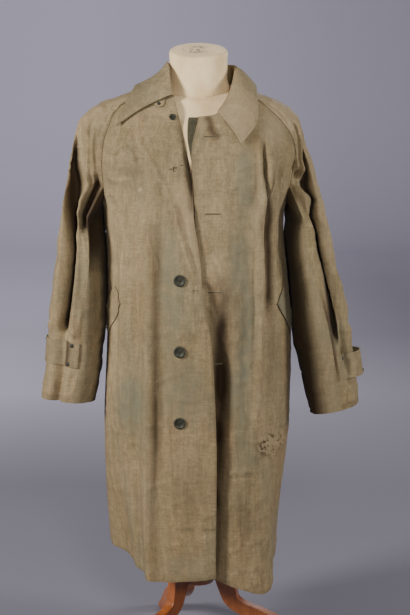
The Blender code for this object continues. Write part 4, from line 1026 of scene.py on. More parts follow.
# Rusty stain on top of the form's neck: its middle, where it fades out and its colour
STAIN = {"middle": (-0.014, -0.016, 1.388), "fade": (0.016, 0.034), "colour": (0.060, 0.020, 0.006, 1)}


def cover_material():
    """Cream cotton with a fine weave and faint soiling over the form, stained on top of the neck."""
    made, tree, shader = new_material("form_cover_cloth")
    soiled = remap(tree, noise(tree, (14, 14, 10), 4, 0.6), 0.35, 0.70)
    colour = mix(tree, soiled, (0.94, 0.73, 0.43, 1), (0.70, 0.49, 0.25, 1))
    grain = remap(tree, noise(tree, (500, 500, 500), 2), 0.25, 0.75, 0.93, 1.05)
    colour = mix(tree, 1.0, colour, grain, "MULTIPLY")
    away = add(tree, "ShaderNodeVectorMath", set_operation="DISTANCE", i0=own_place(tree), i1=STAIN["middle"])
    near = remap(tree, away.outputs["Value"], *STAIN["fade"], 1.0, 0.0)
    spots = remap(tree, noise(tree, (80, 80, 70), 3, 0.7), 0.50, 0.53)
    colour = mix(tree, times(tree, spots, near), colour, STAIN["colour"])
    feed(tree, shader, Base_Color=colour, Roughness=0.88, Sheen_Weight=0.15,
         Normal=bump(tree, 0.25, 0.0006, weave_height(tree, WEAVE["cover"])))
    return made


def wood_material():
    """Orange-brown varnished hardwood with long grain."""
    made, tree, shader = new_material("varnished_wood_grain")
    fibres = noise(tree, (45, 45, 16), 5, 0.65)
    bands = remap(tree, fibres, 0.34, 0.68)
    colour = mix(tree, bands, (0.40, 0.125, 0.034, 1), (0.22, 0.060, 0.017, 1))
    pores = remap(tree, noise(tree, (420, 420, 70), 2), 0.56, 0.72)
    colour = mix(tree, times(tree, pores, 0.45), colour, (0.07, 0.020, 0.008, 1))
    feed(tree, shader, Base_Color=colour, Roughness=0.32, Coat_Weight=0.35, Coat_Roughness=0.16,
         Normal=bump(tree, 0.12, 0.0006, fibres))
    return made


def speckled_material(name, dark, light, roughness, size):
    made, tree, shader = new_material(name)
    speckle = remap(tree, noise(tree, (size, size, size), 4, 0.6), 0.35, 0.68)
    feed(tree, shader, Base_Color=mix(tree, speckle, (*dark, 1), (*light, 1)), Roughness=roughness,
         Specular_IOR_Level=0.3, Normal=bump(tree, 0.2, 0.0003, noise(tree, (700, 700, 700), 3)))
    return made


KHAKI = cloth_material()
GREEN = speckled_material("facing_cloth_green", (0.050, 0.046, 0.026), (0.082, 0.074, 0.042), 0.85, 120)
BUTTON = speckled_material("button_horn", (0.014, 0.016, 0.010), (0.046, 0.046, 0.030), 0.50, 160)
STUD = speckled_material("dark_stud", (0.016, 0.017, 0.014), (0.045, 0.044, 0.036), 0.42, 300)
THREAD = speckled_material("sewing_thread", (0.150, 0.118, 0.072), (0.245, 0.198, 0.128), 0.8, 500)
DARK_THREAD = speckled_material("dark_thread", (0.022, 0.018, 0.012), (0.060, 0.046, 0.030), 0.8, 500)
CREAM = cover_material()
WOOD = wood_material()

# Colour marks of the fronts: soft patches of paler, greener or dirtier cloth, and some patches of painted
# shade
MARK_COLUMNS = ("x", "z", "half_x", "half_z", "pale", "green", "dirt_and_shade")
MARKS = {
    "right": (
        (-0.150, 0.610, 0.040, 0.066, 0.0, 0.80, 0.0), (-0.086, 0.620, 0.012, 0.150, 0.0, 0.0, 0.30),
        (-0.030, 0.640, 0.050, 0.070, 0.0, 0.60, 0.0), (-0.115, 1.020, 0.050, 0.130, 0.12, 0.0, 0.0),
        (-0.060, 0.880, 0.030, 0.150, 0.0, 0.60, 0.0), (-0.165, 1.150, 0.030, 0.030, 0.18, 0.0, 0.0),
        (-0.150, 1.125, 0.034, 0.012, 0.0, 0.0, 0.30), (-0.020, 0.430, 0.060, 0.070, 0.0, 0.0, 0.22),
        (-0.110, 0.420, 0.030, 0.120, 0.15, 0.0, 0.0), (-0.020, 0.250, 0.060, 0.030, 0.0, 0.30, 0.0),
        (-0.165, 0.420, 0.030, 0.100, 0.15, 0.0, 0.0), (-0.124, 1.085, 0.005, 0.004, 0.9, 0.0, 0.0),
        # The second row on the next line paints shade on the right front's edge where it rolls in at the open
        # neck
        (0.015, 0.3237, 0.004, 0.004, 0.9, 0.0, 0.0), (-0.012, 1.120, 0.012, 0.050, 0.0, 0.0, 0.35),
    ),
    "left": (
        (0.092, 0.936, 0.024, 0.080, 0.0, 0.75, 0.0), (0.108, 0.783, 0.018, 0.110, 0.0, 0.85, 0.0),
        (0.094, 0.640, 0.022, 0.090, 0.0, 0.75, 0.0), (0.104, 0.500, 0.026, 0.060, 0.0, 0.40, 0.0),
        # This line and the next two: painted shadow of the right front's edge over the left front
        (0.056, 0.700, 0.020, 0.100, 0.0, 0.0, 0.30), (0.048, 0.830, 0.024, 0.065, 0.0, 0.0, 0.36),
        (0.076, 0.795, 0.030, 0.080, 0.0, 0.0, 0.30),
        (0.044, 0.560, 0.026, 0.200, 0.0, 0.0, 0.40),
        (0.131, 0.960, 0.008, 0.200, 0.15, 0.0, 0.10), (0.066, 0.900, 0.022, 0.050, 0.20, 0.0, 0.0),
        (0.168, 0.700, 0.020, 0.120, 0.0, 0.25, 0.0), (0.165, 0.520, 0.032, 0.024, 0.25, 0.0, 0.0),
        (0.166, 1.220, 0.030, 0.040, 0.65, 0.20, 0.0), (0.105, 1.100, 0.022, 0.080, 0.0, 0.75, 0.0),
        (0.090, 0.350, 0.040, 0.060, 0.0, 0.0, 0.15), (0.150, 0.400, 0.020, 0.120, 0.15, 0.0, 0.0),
    ),
}
# The right front's turned edge is paler, beside a line from its top to its foot
PALE_BAND = {"top": (-0.054, 1.066), "foot": (0.018, 0.826), "ends": (1.07, 1.12), "strength": 0.42}
PALE_BAND_RIM = (-0.002, 0.003)
PALE_BAND_FOOT = 0.02

# Marks that run along lines: from one point to another, half width, then pale, green, and dirt together with
# painted shade; some pale lines are painted highlights on ridges
LINE_MARK_COLUMNS = ("x0", "z0", "x1", "z1", "width", "pale", "green", "dirt_and_shade")
LINE_MARKS = {
    "right": (
        # The next two rows: painted shade beside the long fold, and on the edge that rolls in at the open neck
        (-0.0885, 0.99, -0.093, 0.42, 0.007, 0.0, 0.0, 0.26),
        (-0.024, 1.175, -0.008, 1.03, 0.008, 0.0, 0.0, 0.40),
        (-0.094, 0.640, -0.090, 0.500, 0.006, 0.0, 0.0, 0.14),
        # Painted highlight along the long fold's lit side
        (-0.1014, 1.00, -0.110, 0.22, 0.010, 0.08, 0.0, 0.0),
        (-0.050, 0.336, -0.008, 0.337, 0.0036, 0.0, 0.1, 0.30),
        (0.008, 0.336, 0.040, 0.337, 0.0036, 0.0, 0.1, 0.40),
    ),
    "left": (
        # Partly a darker stain, partly painted shade down the valley beside the right front's edge
        (0.052, 0.820, 0.060, 0.620, 0.014, 0.0, 0.0, 0.34),
        (0.060, 0.710, 0.053, 0.520, 0.014, 0.0, 0.0, 0.40),
        (0.053, 0.580, 0.046, 0.370, 0.011, 0.0, 0.0, 0.45),
        (0.046, 0.430, 0.043, 0.215, 0.006, 0.0, 0.0, 0.50),
        # Painted shade in the troughs of the long pinched fold on the left chest
        (0.1470, 1.200, 0.1495, 0.800, 0.0036, 0.0, 0.0, 0.55),
        (0.1595, 1.13, 0.1600, 0.80, 0.0050, 0.0, 0.0, 0.95),
        # Painted highlight along that fold's ridge
        (0.1366, 1.184, 0.1406, 0.849, 0.004, 0.20, 0.0, 0.0),
        (0.1406, 0.849, 0.1333, 0.583, 0.005, 0.12, 0.0, 0.0),
        (0.120, 0.980, 0.1225, 0.600, 0.006, 0.0, 0.0, 0.16),
        # Painted shadow under the collar in the left front's neck corner
        (0.018, 1.245, 0.046, 1.190, 0.010, 0.0, 0.0, 0.75),
        (0.118, 0.349, 0.150, 0.349, 0.004, 0.0, 0.0, 0.12),
    ),
}
SPECKLES = {"x": 0.163, "z": 0.515, "half_x": 0.034, "half_z": 0.026}
# Dirt along a panel's rims: its reach as a share of the panel, and its strength
RIM_DIRT = {"edge": (0.012, 0.35), "hem": (0.008, 0.245), "seam": (0.012, 0.55), "back_hem": (0.008, 0.25)}
SEAM_DIRT_STEPS = (1.6, 2.0)


def soft_patch(mark, x, z):
    """1 in a mark's middle, fading out round its half sizes."""
    reach = ((x - mark["x"]) / mark["half_x"]) ** 2 + ((z - mark["z"]) / mark["half_z"]) ** 2
    return np.exp(-reach ** 2)


def rim_dirt(name, away):
    reach, strength = RIM_DIRT[name]
    return strength * np.exp(-(away / reach) ** 2)


def front_tint(side, angle, z, across, step):
    """Pale, green, dirty and speckled shares of the colour over a front, with painted shade and highlights
    along some folds and edges.
    """
    x = body_point(angle, z)[..., 0]
    tint = np.zeros(x.shape + (4,))
    marks = []
    for row in LINE_MARKS[side]:
        marks.append((line_crease([(*row[:5], 1.0)], x, z), dict(zip(LINE_MARK_COLUMNS, row))))
    for row in MARKS[side]:
        mark = dict(zip(MARK_COLUMNS, row))
        marks.append((soft_patch(mark, x, z), mark))
    for strength, mark in marks:
        tint[..., :3] += strength[..., None] * np.array((mark["pale"], mark["green"], mark["dirt_and_shade"]))
    if side == "left":
        tint[..., 3] = soft_patch(SPECKLES, x, z)
    else:
        (top_x, top_z), (foot_x, foot_z) = PALE_BAND["top"], PALE_BAND["foot"]
        line = top_x + (foot_x - top_x) * (top_z - z) / (top_z - foot_z)
        band = fade(x - line, *PALE_BAND_RIM) * fade(z, foot_z - PALE_BAND_FOOT, foot_z + PALE_BAND_FOOT)
        tint[..., 0] += PALE_BAND["strength"] * band * (1 - fade(z, *PALE_BAND["ends"]))
    tint[..., 2] += rim_dirt("edge", across) + rim_dirt("hem", np.clip(step, 0, 1))
    tint[..., 2] += rim_dirt("seam", 1 - across) * fade(step, *SEAM_DIRT_STEPS)
    return np.clip(tint, 0, 1)


# Cloth pieces

# The turned-up hem: depth, extra wall, how fast that ends, the share that shows outside, and the hem's level
HEM_TURN = {"depth": 0.028, "wall": 0.0011, "ends": 0.002, "out": 0.4, "base_z": 0.22}
BACK_GREEN = {"share": 0.25, "heights": (0.9, 1.2)}
# Flat cuts, measured along the made sheets, with the turned hem added to the body's panels
SHEET_COLUMNS = ("wide", "long", "area", "held", "rests_on")
SHEETS = {
    "front_right_cloth": (0.380, 1.190, 0.348, "hung", "form_torso"),
    "front_left_cloth": (0.350, 1.220, 0.343, "hung", "form_torso"),
    "back_cloth": (0.630, 1.210, 0.613, "hung", "form_torso"),
    "sleeve_right_upper_cloth": (0.400, 0.850, 0.209, "hung", "form_torso"),
    "sleeve_left_upper_cloth": (0.300, 0.855, 0.178, "hung", "form_torso"),
    "sleeve_right_under_cloth": (0.225, 0.510, 0.0922, "hung", "sleeve_right_upper"),
    "sleeve_left_under_cloth": (0.245, 0.530, 0.1056, "hung", "sleeve_left_upper"),
    "collar_cloth": (0.150, 0.750, 0.0675, "folded", "form_neck"),
    "collar_tab_cloth": (0.025, 0.035, 0.00067, "laid", "front_right"),
    "cuff_strap_right_cloth": (0.057, 0.215, 0.0116, "folded", "sleeve_right_upper"),
    "cuff_strap_left_cloth": (0.058, 0.208, 0.0111, "folded", "sleeve_left_upper"),
    "pocket_welt_right_cloth": (0.057, 0.108, 0.0055, "laid", "front_right"),
    "pocket_welt_left_cloth": (0.057, 0.108, 0.0055, "laid", "front_left"),
    "facing_left_cloth": (0.033, 0.098, 0.0023, "laid", "front_left"),
}


def panel_steps():
    side = np.linspace(0, 1, SIDE_ROWS + 1)
    armhole = np.linspace(1, 2, ARMHOLE_ROWS + 1)[1:]
    raglan = np.linspace(2, 3, RAGLAN_ROWS + 1)[1:]
    return np.concatenate([side, armhole, raglan])


def seam_calm(step, across):
    """1 over a panel, falling to 0 at its outer seam and its neck edge."""
    return (1 - fade(across, 0.93, 1.0)) * (1 - fade(step, 2.9, 3.0))


def hem_wall(side, step):
    """Extra wall of a panel where its hem is turned up."""
    rise = np.clip(step, 0, 1) * (UNDERARM_Z[side] - HEM_TURN["base_z"])
    return HEM_TURN["wall"] * (1 - fade(rise, HEM_TURN["depth"] - HEM_TURN["ends"], HEM_TURN["depth"]))


def cloth_piece(name, points, wall, tint):
    """A khaki sheet that stands for the solid of the same name."""
    finish_piece(shell(name + "_cloth", points, wall, KHAKI, tint), "waxed_cotton", name)


def front_sheet(side, step, across, out=0.0):
    """Points of a front's fine sheet, which lies calm along its seams."""
    angle, z = front_place(side, step, across)
    detail = front_detail(side, angle, z) * seam_calm(step, across)
    return body_point(angle, z, front_out(side, angle, z) + detail + out)


def make_fronts():
    step, across = np.meshgrid(panel_steps(), np.linspace(0, 1, FRONT_COLUMNS + 1), indexing="ij")
    for side in SIDES:
        turned = hem_wall(side, step)
        points = front_sheet(side, step, across, HEM_TURN["out"] * turned)
        points = inset(points, 0.0, 2 * SEAM_GAP, 0.0, 2 * SEAM_GAP)
        tint = front_tint(side, *front_place(side, step, across), across, step)
        wall = CLOTH + turned
        if side == "right":
            points, tint, wall = points[:, ::-1], tint[:, ::-1], wall[:, ::-1]
        cloth_piece("front_" + side, points, wall, tint)


def make_back():
    step, across = np.meshgrid(panel_steps(), np.linspace(0, 1, BACK_COLUMNS + 1), indexing="ij")
    angle, z = back_place(step, across)
    calm = seam_calm(step, across) * fade(across, 0.0, 0.05)
    detail = small_wrinkles(WRINKLE_SEEDS["back"], np.radians(angle) * BODY_ARC, z) * calm
    turned = hem_wall("left", step)
    points = body_point(angle, z, fold_depth(FOLDS["back"], angle, z) + detail + HEM_TURN["out"] * turned)
    points = inset(points, 0.0, 2 * SEAM_GAP, 2 * SEAM_GAP, 2 * SEAM_GAP)
    tint = np.zeros(points.shape)
    tint[..., 1] = BACK_GREEN["share"] * fade(z, *BACK_GREEN["heights"])
    tint[..., 2] = rim_dirt("back_hem", np.clip(step, 0, 1))
    cloth_piece("back", points, CLOTH + turned, tint)


def make_upper_sleeve(side):
    """Points and tint of an upper sleeve."""
    stations = np.linspace(0, SLEEVE_END, SLEEVE_ROWS + 1)
    angles = np.linspace(0, 180, ARCH_COLUMNS + 1)
    station, angle = np.meshgrid(stations, angles, indexing="ij")
    lap = SEAM_LAP["rise"] * (1 - fade(angle, *SEAM_LAP["angles"]))
    lap = lap * fade(station, *SEAM_LAP["starts"]) * (1 - fade(station, *SEAM_LAP["ends"]))
    points = upper_sleeve(side, stations, angles, sleeve_detail(side, station, angle) + lap)
    strap_starts = STRAP[side]["stations"][0]
    pleats = sleeve_crease(SLEEVE_PLEATS[side], station, angle) * sleeve_calm(side, station, angle)
    pleats = pleats * (1 - fade(station, strap_starts - PLEAT_ENDS_BEFORE_STRAP, strap_starts))
    points[..., 1] += pleats
    tint = np.zeros(points.shape)
    tint[..., 0] = ARM_STRIPE["share"] * np.exp(-((angle - ARM_STRIPE["angle"]) / ARM_STRIPE["width"]) ** 2)
    tint[..., 0] += SHOULDER_FADE_AND_HIGHLIGHT[side] * (1 - fade(station, *SHOULDER_ENDS))
    # Painted shade in the pleats, darkest where they go deepest
    tint[..., 2] = PLEAT_SHADE["strength"] * fade(pleats, *PLEAT_SHADE["depths"])
    tint[-CUFF_DIRT["rows"]:, :, 2] += CUFF_DIRT["share"]
    tint[..., 2] += sleeve_crease(SLEEVE_SHADE[side], station, angle)
    tint = np.clip(tint, 0, 1)
    return inset(points, 2 * SEAM_GAP, 0.0, UNDER_SEAM_INSET, UNDER_SEAM_INSET), tint


def make_under_sleeve(side):
    """Points and tint of an under sleeve."""
    stations = np.linspace(RAGLAN_STATIONS, SLEEVE_END, SLEEVE_ROWS // 2 + 1)
    shares = np.linspace(0, 1, UNDER_COLUMNS + 1)
    station, share = np.meshgrid(stations, shares, indexing="ij")
    points = under_sleeve(side, stations, shares)
    facing = -grid_normals(points) * SIDES[side]
    crumple = small_wrinkles(SLEEVE_SEEDS[side] + 5, share * UNDER_WIDTH, station * SLEEVE_STEP)
    calm = np.sin(np.pi * share) * fade(station, *UNDER_STARTS["crumple"])
    points = points + facing * (SLEEVE_CRUMPLE["under"] * crumple * calm)[..., None]
    fall = UNDER_HOLLOW[side]
    shaded = 1 - fade(station, *fall["ends"])
    start = fade(station, *UNDER_STARTS["hollow"])
    hollow = np.sin(np.pi * np.clip(share / fall["reach"], 0, 1)) * start * shaded
    bulge = np.exp(-((share - UNDER_BULGE["share"]) / UNDER_BULGE["width"]) ** 2)
    bulge = bulge * fade(station, *UNDER_BULGE["starts"]) * (1 - fade(station, *UNDER_BULGE["ends"]))
    inwards = np.array((SIDES[side], 1.0, 0.0)) / math.sqrt(2)
    points = points + inwards * (fall["depth"] * hollow)[..., None]
    reach = SIDES[side] * points[..., 0] - UNDER_BULGE["depth"] * bulge
    clear = body_side(side, points[..., 1], points[..., 2]) + UNDER_CLEAR["gap"] * fade(
        station, *UNDER_CLEAR["stations"])
    points[..., 0] = SIDES[side] * np.maximum(reach, clear)
    tint = np.zeros(points.shape)
    tint[..., 1] = UNDER_GREEN
    # Painted shade: all across the under sleeve until the hollow ends, and on its side towards the body all
    # the way down
    tint[..., 2] = fall["painted_shade"] * np.maximum(shaded, fade(share, *fall["shade"]))
    return inset(points, 2 * SEAM_GAP, 0.0, UNDER_SEAM_INSET, UNDER_SEAM_INSET), tint


def make_sleeves():
    for side in SIDES:
        for part, make in (("upper", make_upper_sleeve), ("under", make_under_sleeve)):
            points, tint = make(side)
            if (side == "left") == (part == "upper"):
                points, tint = points[::-1], tint[::-1]
            cloth_piece(f"sleeve_{side}_{part}", points, CLOTH, tint)


# Tint of the collar: the left leaf is paler from these sections on, the fall greener and its rim dirty
COLLAR_TINT = {"leaf": (7.0, 8.5), "pale": 0.55, "fall": (0.35, 0.6), "green": 0.35,
               "rim": (0.985, 1.0), "dirt_and_shade": 0.30}
# Waviness of the collar: cloth length of one section and of the whole width, and the share of it that is used
COLLAR_WAVE = {"seed": 83, "section": 0.055, "width": 0.15, "share": 0.5}


def collar_points(sections, shares):
    """The collar with a slight waviness that fades out at its seam."""
    points = collar_surface(sections, shares)
    normals = -grid_normals(points)
    along = sections[:, None] * COLLAR_WAVE["section"] + 0 * shares
    down = shares * COLLAR_WAVE["width"] + 0 * sections[:, None]
    wave = COLLAR_WAVE["share"] * small_wrinkles(COLLAR_WAVE["seed"], along, down)
    return points + normals * (wave * fade(shares, *COLLAR_TINT["fall"]))[..., None]


def make_collar():
    sections = np.linspace(0, COLLAR[-1][0], COLLAR_ROWS + 1)
    shares = np.linspace(0, 1, COLLAR_COLUMNS + 1)
    points = collar_points(sections, shares)[::-1]
    leaf = fade(sections[::-1], *COLLAR_TINT["leaf"])[:, None]
    tint = np.zeros(points.shape)
    tint[..., 0] = COLLAR_TINT["pale"] * leaf
    tint[..., 1] = COLLAR_TINT["green"] * fade(shares, *COLLAR_TINT["fall"]) * (1 - leaf)
    tint[..., 2] = COLLAR_TINT["dirt_and_shade"] * fade(shares, *COLLAR_TINT["rim"])
    cloth_piece("collar", points, COLLAR_CLOTH, tint)


# Rounded tab under the right collar leaf's outer edge: its middle on the front, half width, length and stud
COLLAR_TAB = {"x": -0.0825, "z": 1.283, "half": 0.0115, "length": 0.021, "lift": 0.0042, "stud": 0.0040}


def collar_tab_points(down, across):
    """Points of the tab on the right front: down its length (0 to 1) to a round end, across it (-1 to 1)."""
    narrow = np.sqrt(np.clip(1 - np.clip((down - 0.45) / 0.55, 0, 1) ** 2.2, 0, 1))
    x = COLLAR_TAB["x"] + COLLAR_TAB["half"] * across * np.maximum(narrow, 0.08)
    z = COLLAR_TAB["z"] - COLLAR_TAB["length"] * down
    return front_skin("right", angle_at(x, z), z, COLLAR_TAB["lift"])


def make_collar_tab():
    """A small tab that hangs from under the right collar leaf."""
    down, across = np.meshgrid(np.linspace(1, 0, 25), np.linspace(-1, 1, 21), indexing="ij")
    points = collar_tab_points(down, across)
    finish_piece(shell("collar_tab_cloth", points, COLLAR_CLOTH, KHAKI), "waxed_cotton")


def strap_points(side, stations, angles):
    """Points of a cuff strap, over the sleeve and its own loop."""
    strap = STRAP[side]
    loop = strap["loop"] * np.exp(-((angles - strap["loop_angle"]) / STRAP_LOOP_WIDTH) ** 2)
    return upper_sleeve(side, stations, angles, STRAP_CLOTH + STRAP_EASE + loop)


def make_straps():
    for side, strap in STRAP.items():
        angles = np.linspace(*strap["angles"], 90)
        points = strap_points(side, np.linspace(*strap["stations"], 18), angles)
        if side == "left":
            points = points[::-1]
        tint = np.zeros(points.shape)
        tint[..., 1] = STRAP_GREEN
        # Painted shade where the strap dips into the pleat
        tint[..., 2] = strap["painted_shade"] * np.exp(-((angles - STRAP_SHADE["angle"]) / STRAP_SHADE["width"]) ** 2)
        cloth_piece("cuff_strap_" + side, points, STRAP_CLOTH, tint)


# The left welt has kept more of its green and its edges are dirty; the right one has faded with its front
WELT_TINT = {"right": {"green": 0.10, "edges": 0.0}, "left": {"green": 0.75, "edges": 0.7}}


def welt_points(side, height, across):
    """Points of a welt, up its length (0 to 1) and across it (0 to 1)."""
    height = height[:, None]
    z = WELT["low_z"] + (WELT["top_z"] - WELT["low_z"]) * height + WELT["rise"] * across
    angle = WELT["low_angle"] + (WELT["top_angle"] - WELT["low_angle"]) * height + WELT["turn"] * across
    return front_skin(side, SIDES[side] * angle, z, CLOTH + WELT_EASE)


def make_welts():
    height = np.linspace(0, 1, 61)
    across = np.linspace(0, 1, 34)
    edges = np.maximum(1 - fade(across, 0.0, 0.05), 0.4 * fade(height, 0.96, 1.0)[:, None])
    for side in SIDES:
        points = welt_points(side, height, across)
        tint = np.zeros(points.shape)
        tint[..., 1] = WELT_TINT[side]["green"]
        tint[..., 2] = WELT_TINT[side]["edges"] * edges
        if side == "right":
            points, tint = points[:, ::-1], tint[:, ::-1]
        cloth_piece("pocket_welt_" + side, points, CLOTH, tint)


def make_facing():
    z = np.linspace(FACING_LOW_Z, FACING_TOP_Z, 46)
    width = FACING_WIDTH * fade(z, FACING_LOW_Z - FACING_TAPER, FACING_TOP_Z)
    tucked = column(FRONT_EDGE["left"], "x", z) + FACING_TUCK
    x = tucked[:, None] - (width[:, None] + FACING_TUCK) * np.linspace(1, 0, 20)
    z_grid = np.repeat(z[:, None], 20, axis=1)
    angle = angle_at(x, z_grid)
    points = body_point(angle, z_grid, front_out("left", angle, z_grid) - CLOTH - 3 * EASE)
    finish_piece(shell("facing_left_cloth", points, CLOTH, GREEN), "facing_cloth", "facing_left")


# Buttons, buttonholes and stitches

def front_seat(side, x, z):
    """A point of a front's fine surface and the surface's normal there, round the stand's axis."""
    x = x + SEAT_REACH * np.array((0, -1, 1, 0, 0))
    z = z + SEAT_REACH * np.array((0, 0, 0, -1, 1))
    angle = angle_at(x, z)
    points = front_skin(side, angle, z)
    normal = np.cross(points[2] - points[1], points[4] - points[3])
    return Vector(points[0]), Vector(normal).normalized()


def lay_on(made, seat, normal, lift=0.0):
    """Put an object on a seat with its own Z along the normal and its Y upwards."""
    across = Vector((0, 0, 1)).cross(normal).normalized()
    up = normal.cross(across)
    turn = Matrix((across, up, normal)).transposed().to_4x4()
    made.matrix_world = Matrix.Translation(seat + normal * lift + Vector(STAND_AXIS)) @ turn


# Profiles as shares of the radius and the height
BUTTON_PROFILE = ((0.0, 0.55), (0.30, 0.55), (0.52, 0.58), (0.64, 0.70), (0.71, 0.92), (0.78, 1.0),
                  (0.88, 1.0), (0.95, 0.92), (1.0, 0.74), (1.0, 0.40), (0.95, 0.15), (0.86, 0.0), (0.0, 0.0))
STUD_PROFILE = ((0.0, 0.55), (0.45, 0.50), (0.75, 0.38), (0.95, 0.18), (1.0, 0.0), (0.0, 0.0))
BUTTON_TURNS, STUD_TURNS = 48, 24
JOIN_DISTANCE = 0.00002
SHARP_EDGE = math.radians(40)
HOLE_PLACES = ((-0.2, -0.2), (0.2, -0.2), (0.2, 0.2), (-0.2, 0.2))


def tube_along(solid, points, radius, sides=6):
    """Add a closed round thread through the points to a bmesh."""
    points = [Vector(p) for p in points]
    rings = []
    for i, point in enumerate(points):
        ahead = points[min(i + 1, len(points) - 1)] - points[max(i - 1, 0)]
        turn = ahead.to_track_quat("Z", "Y")
        size = radius * (0.55 if i in (0, len(points) - 1) else 1.0)
        ring = []
        for k in range(sides):
            corner = Vector((math.cos(2 * math.pi * k / sides), math.sin(2 * math.pi * k / sides), 0)) * size
            ring.append(solid.verts.new(point + turn @ corner))
        rings.append(ring)
    for low, high in zip(rings, rings[1:]):
        for k in range(sides):
            solid.faces.new((low[k], low[(k + 1) % sides], high[(k + 1) % sides], high[k]))
    solid.faces.new(list(reversed(rings[0])))
    solid.faces.new(rings[-1])


def mesh_piece(name, solid, finish):
    bmesh.ops.recalc_face_normals(solid, faces=solid.faces[:])
    data = bpy.data.meshes.new(name)
    solid.to_mesh(data)
    solid.free()
    data.shade_smooth()
    data.set_sharp_from_angle(angle=SHARP_EDGE)
    return new_object(name, data, finish)


def turned_piece(name, profile, radius, height, turns, finish):
    """A piece turned from a profile round its own Z."""
    solid = bmesh.new()
    outline = [solid.verts.new((radius * r, 0, height * h)) for r, h in profile]
    edges = [solid.edges.new(pair) for pair in zip(outline, outline[1:])]
    bmesh.ops.spin(solid, geom=outline + edges, axis=(0, 0, 1), cent=(0, 0, 0), steps=turns,
                   angle=2 * math.pi)
    bmesh.ops.remove_doubles(solid, verts=solid.verts[:], dist=JOIN_DISTANCE)
    return mesh_piece(name, solid, finish)


# Crossed threads of a button, as shares of its thickness and radius
BUTTON_THREAD = {"floor": 0.56, "bow": 0.10, "crossing": 0.06, "radius": 0.045}


def make_buttons():
    for name, x, z, radius in BUTTONS:
        thick = BUTTON_THICKNESS * radius / BUTTON_RADIUS
        made = turned_piece(name + "_turned", BUTTON_PROFILE, radius, thick, BUTTON_TURNS, BUTTON)
        seat, normal = front_seat("right", x, z)
        lay_on(made, seat, normal, BUTTON_EASE)
        finish_piece(made, "button_grey_green", name)
        sewn = bmesh.new()
        floor = BUTTON_THREAD["floor"] * thick
        for first, second in ((0, 2), (1, 3)):
            start, end = radius * Vector(HOLE_PLACES[first]), radius * Vector(HOLE_PLACES[second])
            bow = floor + BUTTON_THREAD["bow"] * thick + BUTTON_THREAD["crossing"] * thick * first
            tube_along(sewn, [(*start, floor), (*(0.5 * start), bow), (*(0.5 * end), bow), (*end, floor)],
                       BUTTON_THREAD["radius"] * radius)
        thread = mesh_piece(name + "_thread", sewn, DARK_THREAD)
        lay_on(thread, seat, normal, BUTTON_EASE)
        finish_piece(thread, "button_grey_green")


# Level buttonholes of the left front: middle and half length; the bead round them is higher at the eye
HOLE_COLUMNS = ("x", "z", "half")
BUTTONHOLES = (
    (0.034, 1.034, 0.0175),
    (0.041, 0.8645, 0.0165),
    (0.0445, 0.7035, 0.0150),
    (0.029, 1.199, 0.0150),
)
HOLE_BEAD = {"rise": 0.0013, "eye": 0.0011, "eye_reach": 0.003, "square": 0.35, "radius": 0.00065,
             "lift": 0.0002}
HOLE_SLIT = {"share": 0.96, "radius": 0.00055, "lift": 0.00015}


def surface_line(side, xs, zs, out):
    """Points on a front's fine surface at x and z values, lifted off it."""
    xs, zs = np.asarray(xs, float), np.asarray(zs, float)
    angle = angle_at(xs, zs)
    return front_skin(side, angle, zs, out) + np.array(STAND_AXIS)


def make_buttonholes():
    sewn = bmesh.new()
    slit = bmesh.new()
    turn = np.linspace(0, 2 * np.pi, 41)
    level = np.sign(np.cos(turn)) * np.abs(np.cos(turn)) ** HOLE_BEAD["square"]
    for row in BUTTONHOLES:
        hole = dict(zip(HOLE_COLUMNS, row))
        xs = hole["x"] + hole["half"] * level
        eye = HOLE_BEAD["eye"] * np.exp(-((xs - hole["x"] + hole["half"]) / HOLE_BEAD["eye_reach"]) ** 2)
        zs = hole["z"] + (HOLE_BEAD["rise"] + eye) * np.sin(turn)
        tube_along(sewn, surface_line("left", xs, zs, HOLE_BEAD["lift"]), HOLE_BEAD["radius"])
        xs = hole["x"] + hole["half"] * np.linspace(-HOLE_SLIT["share"], HOLE_SLIT["share"], 15)
        tube_along(slit, surface_line("left", xs, hole["z"] + 0 * xs, HOLE_SLIT["lift"]), HOLE_SLIT["radius"])
    finish_piece(mesh_piece("buttonhole_stitches", sewn, THREAD), "waxed_cotton")
    finish_piece(mesh_piece("buttonhole_slits", slit, DARK_THREAD), "waxed_cotton")


# Thread ends of a lost button on the right front, as x and z values along each
LOOSE_THREADS = (
    ((-0.061, -0.057, -0.053, -0.049), (1.1285, 1.1310, 1.1300, 1.1330)),
    ((-0.053, -0.049, -0.046, -0.044), (1.1330, 1.1345, 1.1320, 1.1350)),
    ((-0.050, -0.052, -0.050, -0.047), (1.1300, 1.1270, 1.1250, 1.1262)),
    ((-0.036, -0.033, -0.030), (1.1375, 1.1392, 1.1385)),
    ((-0.0095, -0.0060, -0.0040), (0.8708, 0.8712, 0.8706)),
    ((-0.0022, 0.0004, 0.0022), (0.8704, 0.8710, 0.8706)),
)
LOOSE_THREAD = {"lift": 0.0008, "radius": 0.0007}


def make_loose_thread():
    solid = bmesh.new()
    for xs, zs in LOOSE_THREADS:
        tube_along(solid, surface_line("right", xs, zs, LOOSE_THREAD["lift"]), LOOSE_THREAD["radius"])
    finish_piece(mesh_piece("lost_button_thread", solid, DARK_THREAD), "waxed_cotton")


STITCH = {"length": 0.0030, "pitch": 0.0044, "radius": 0.00032, "lift": 0.00012}


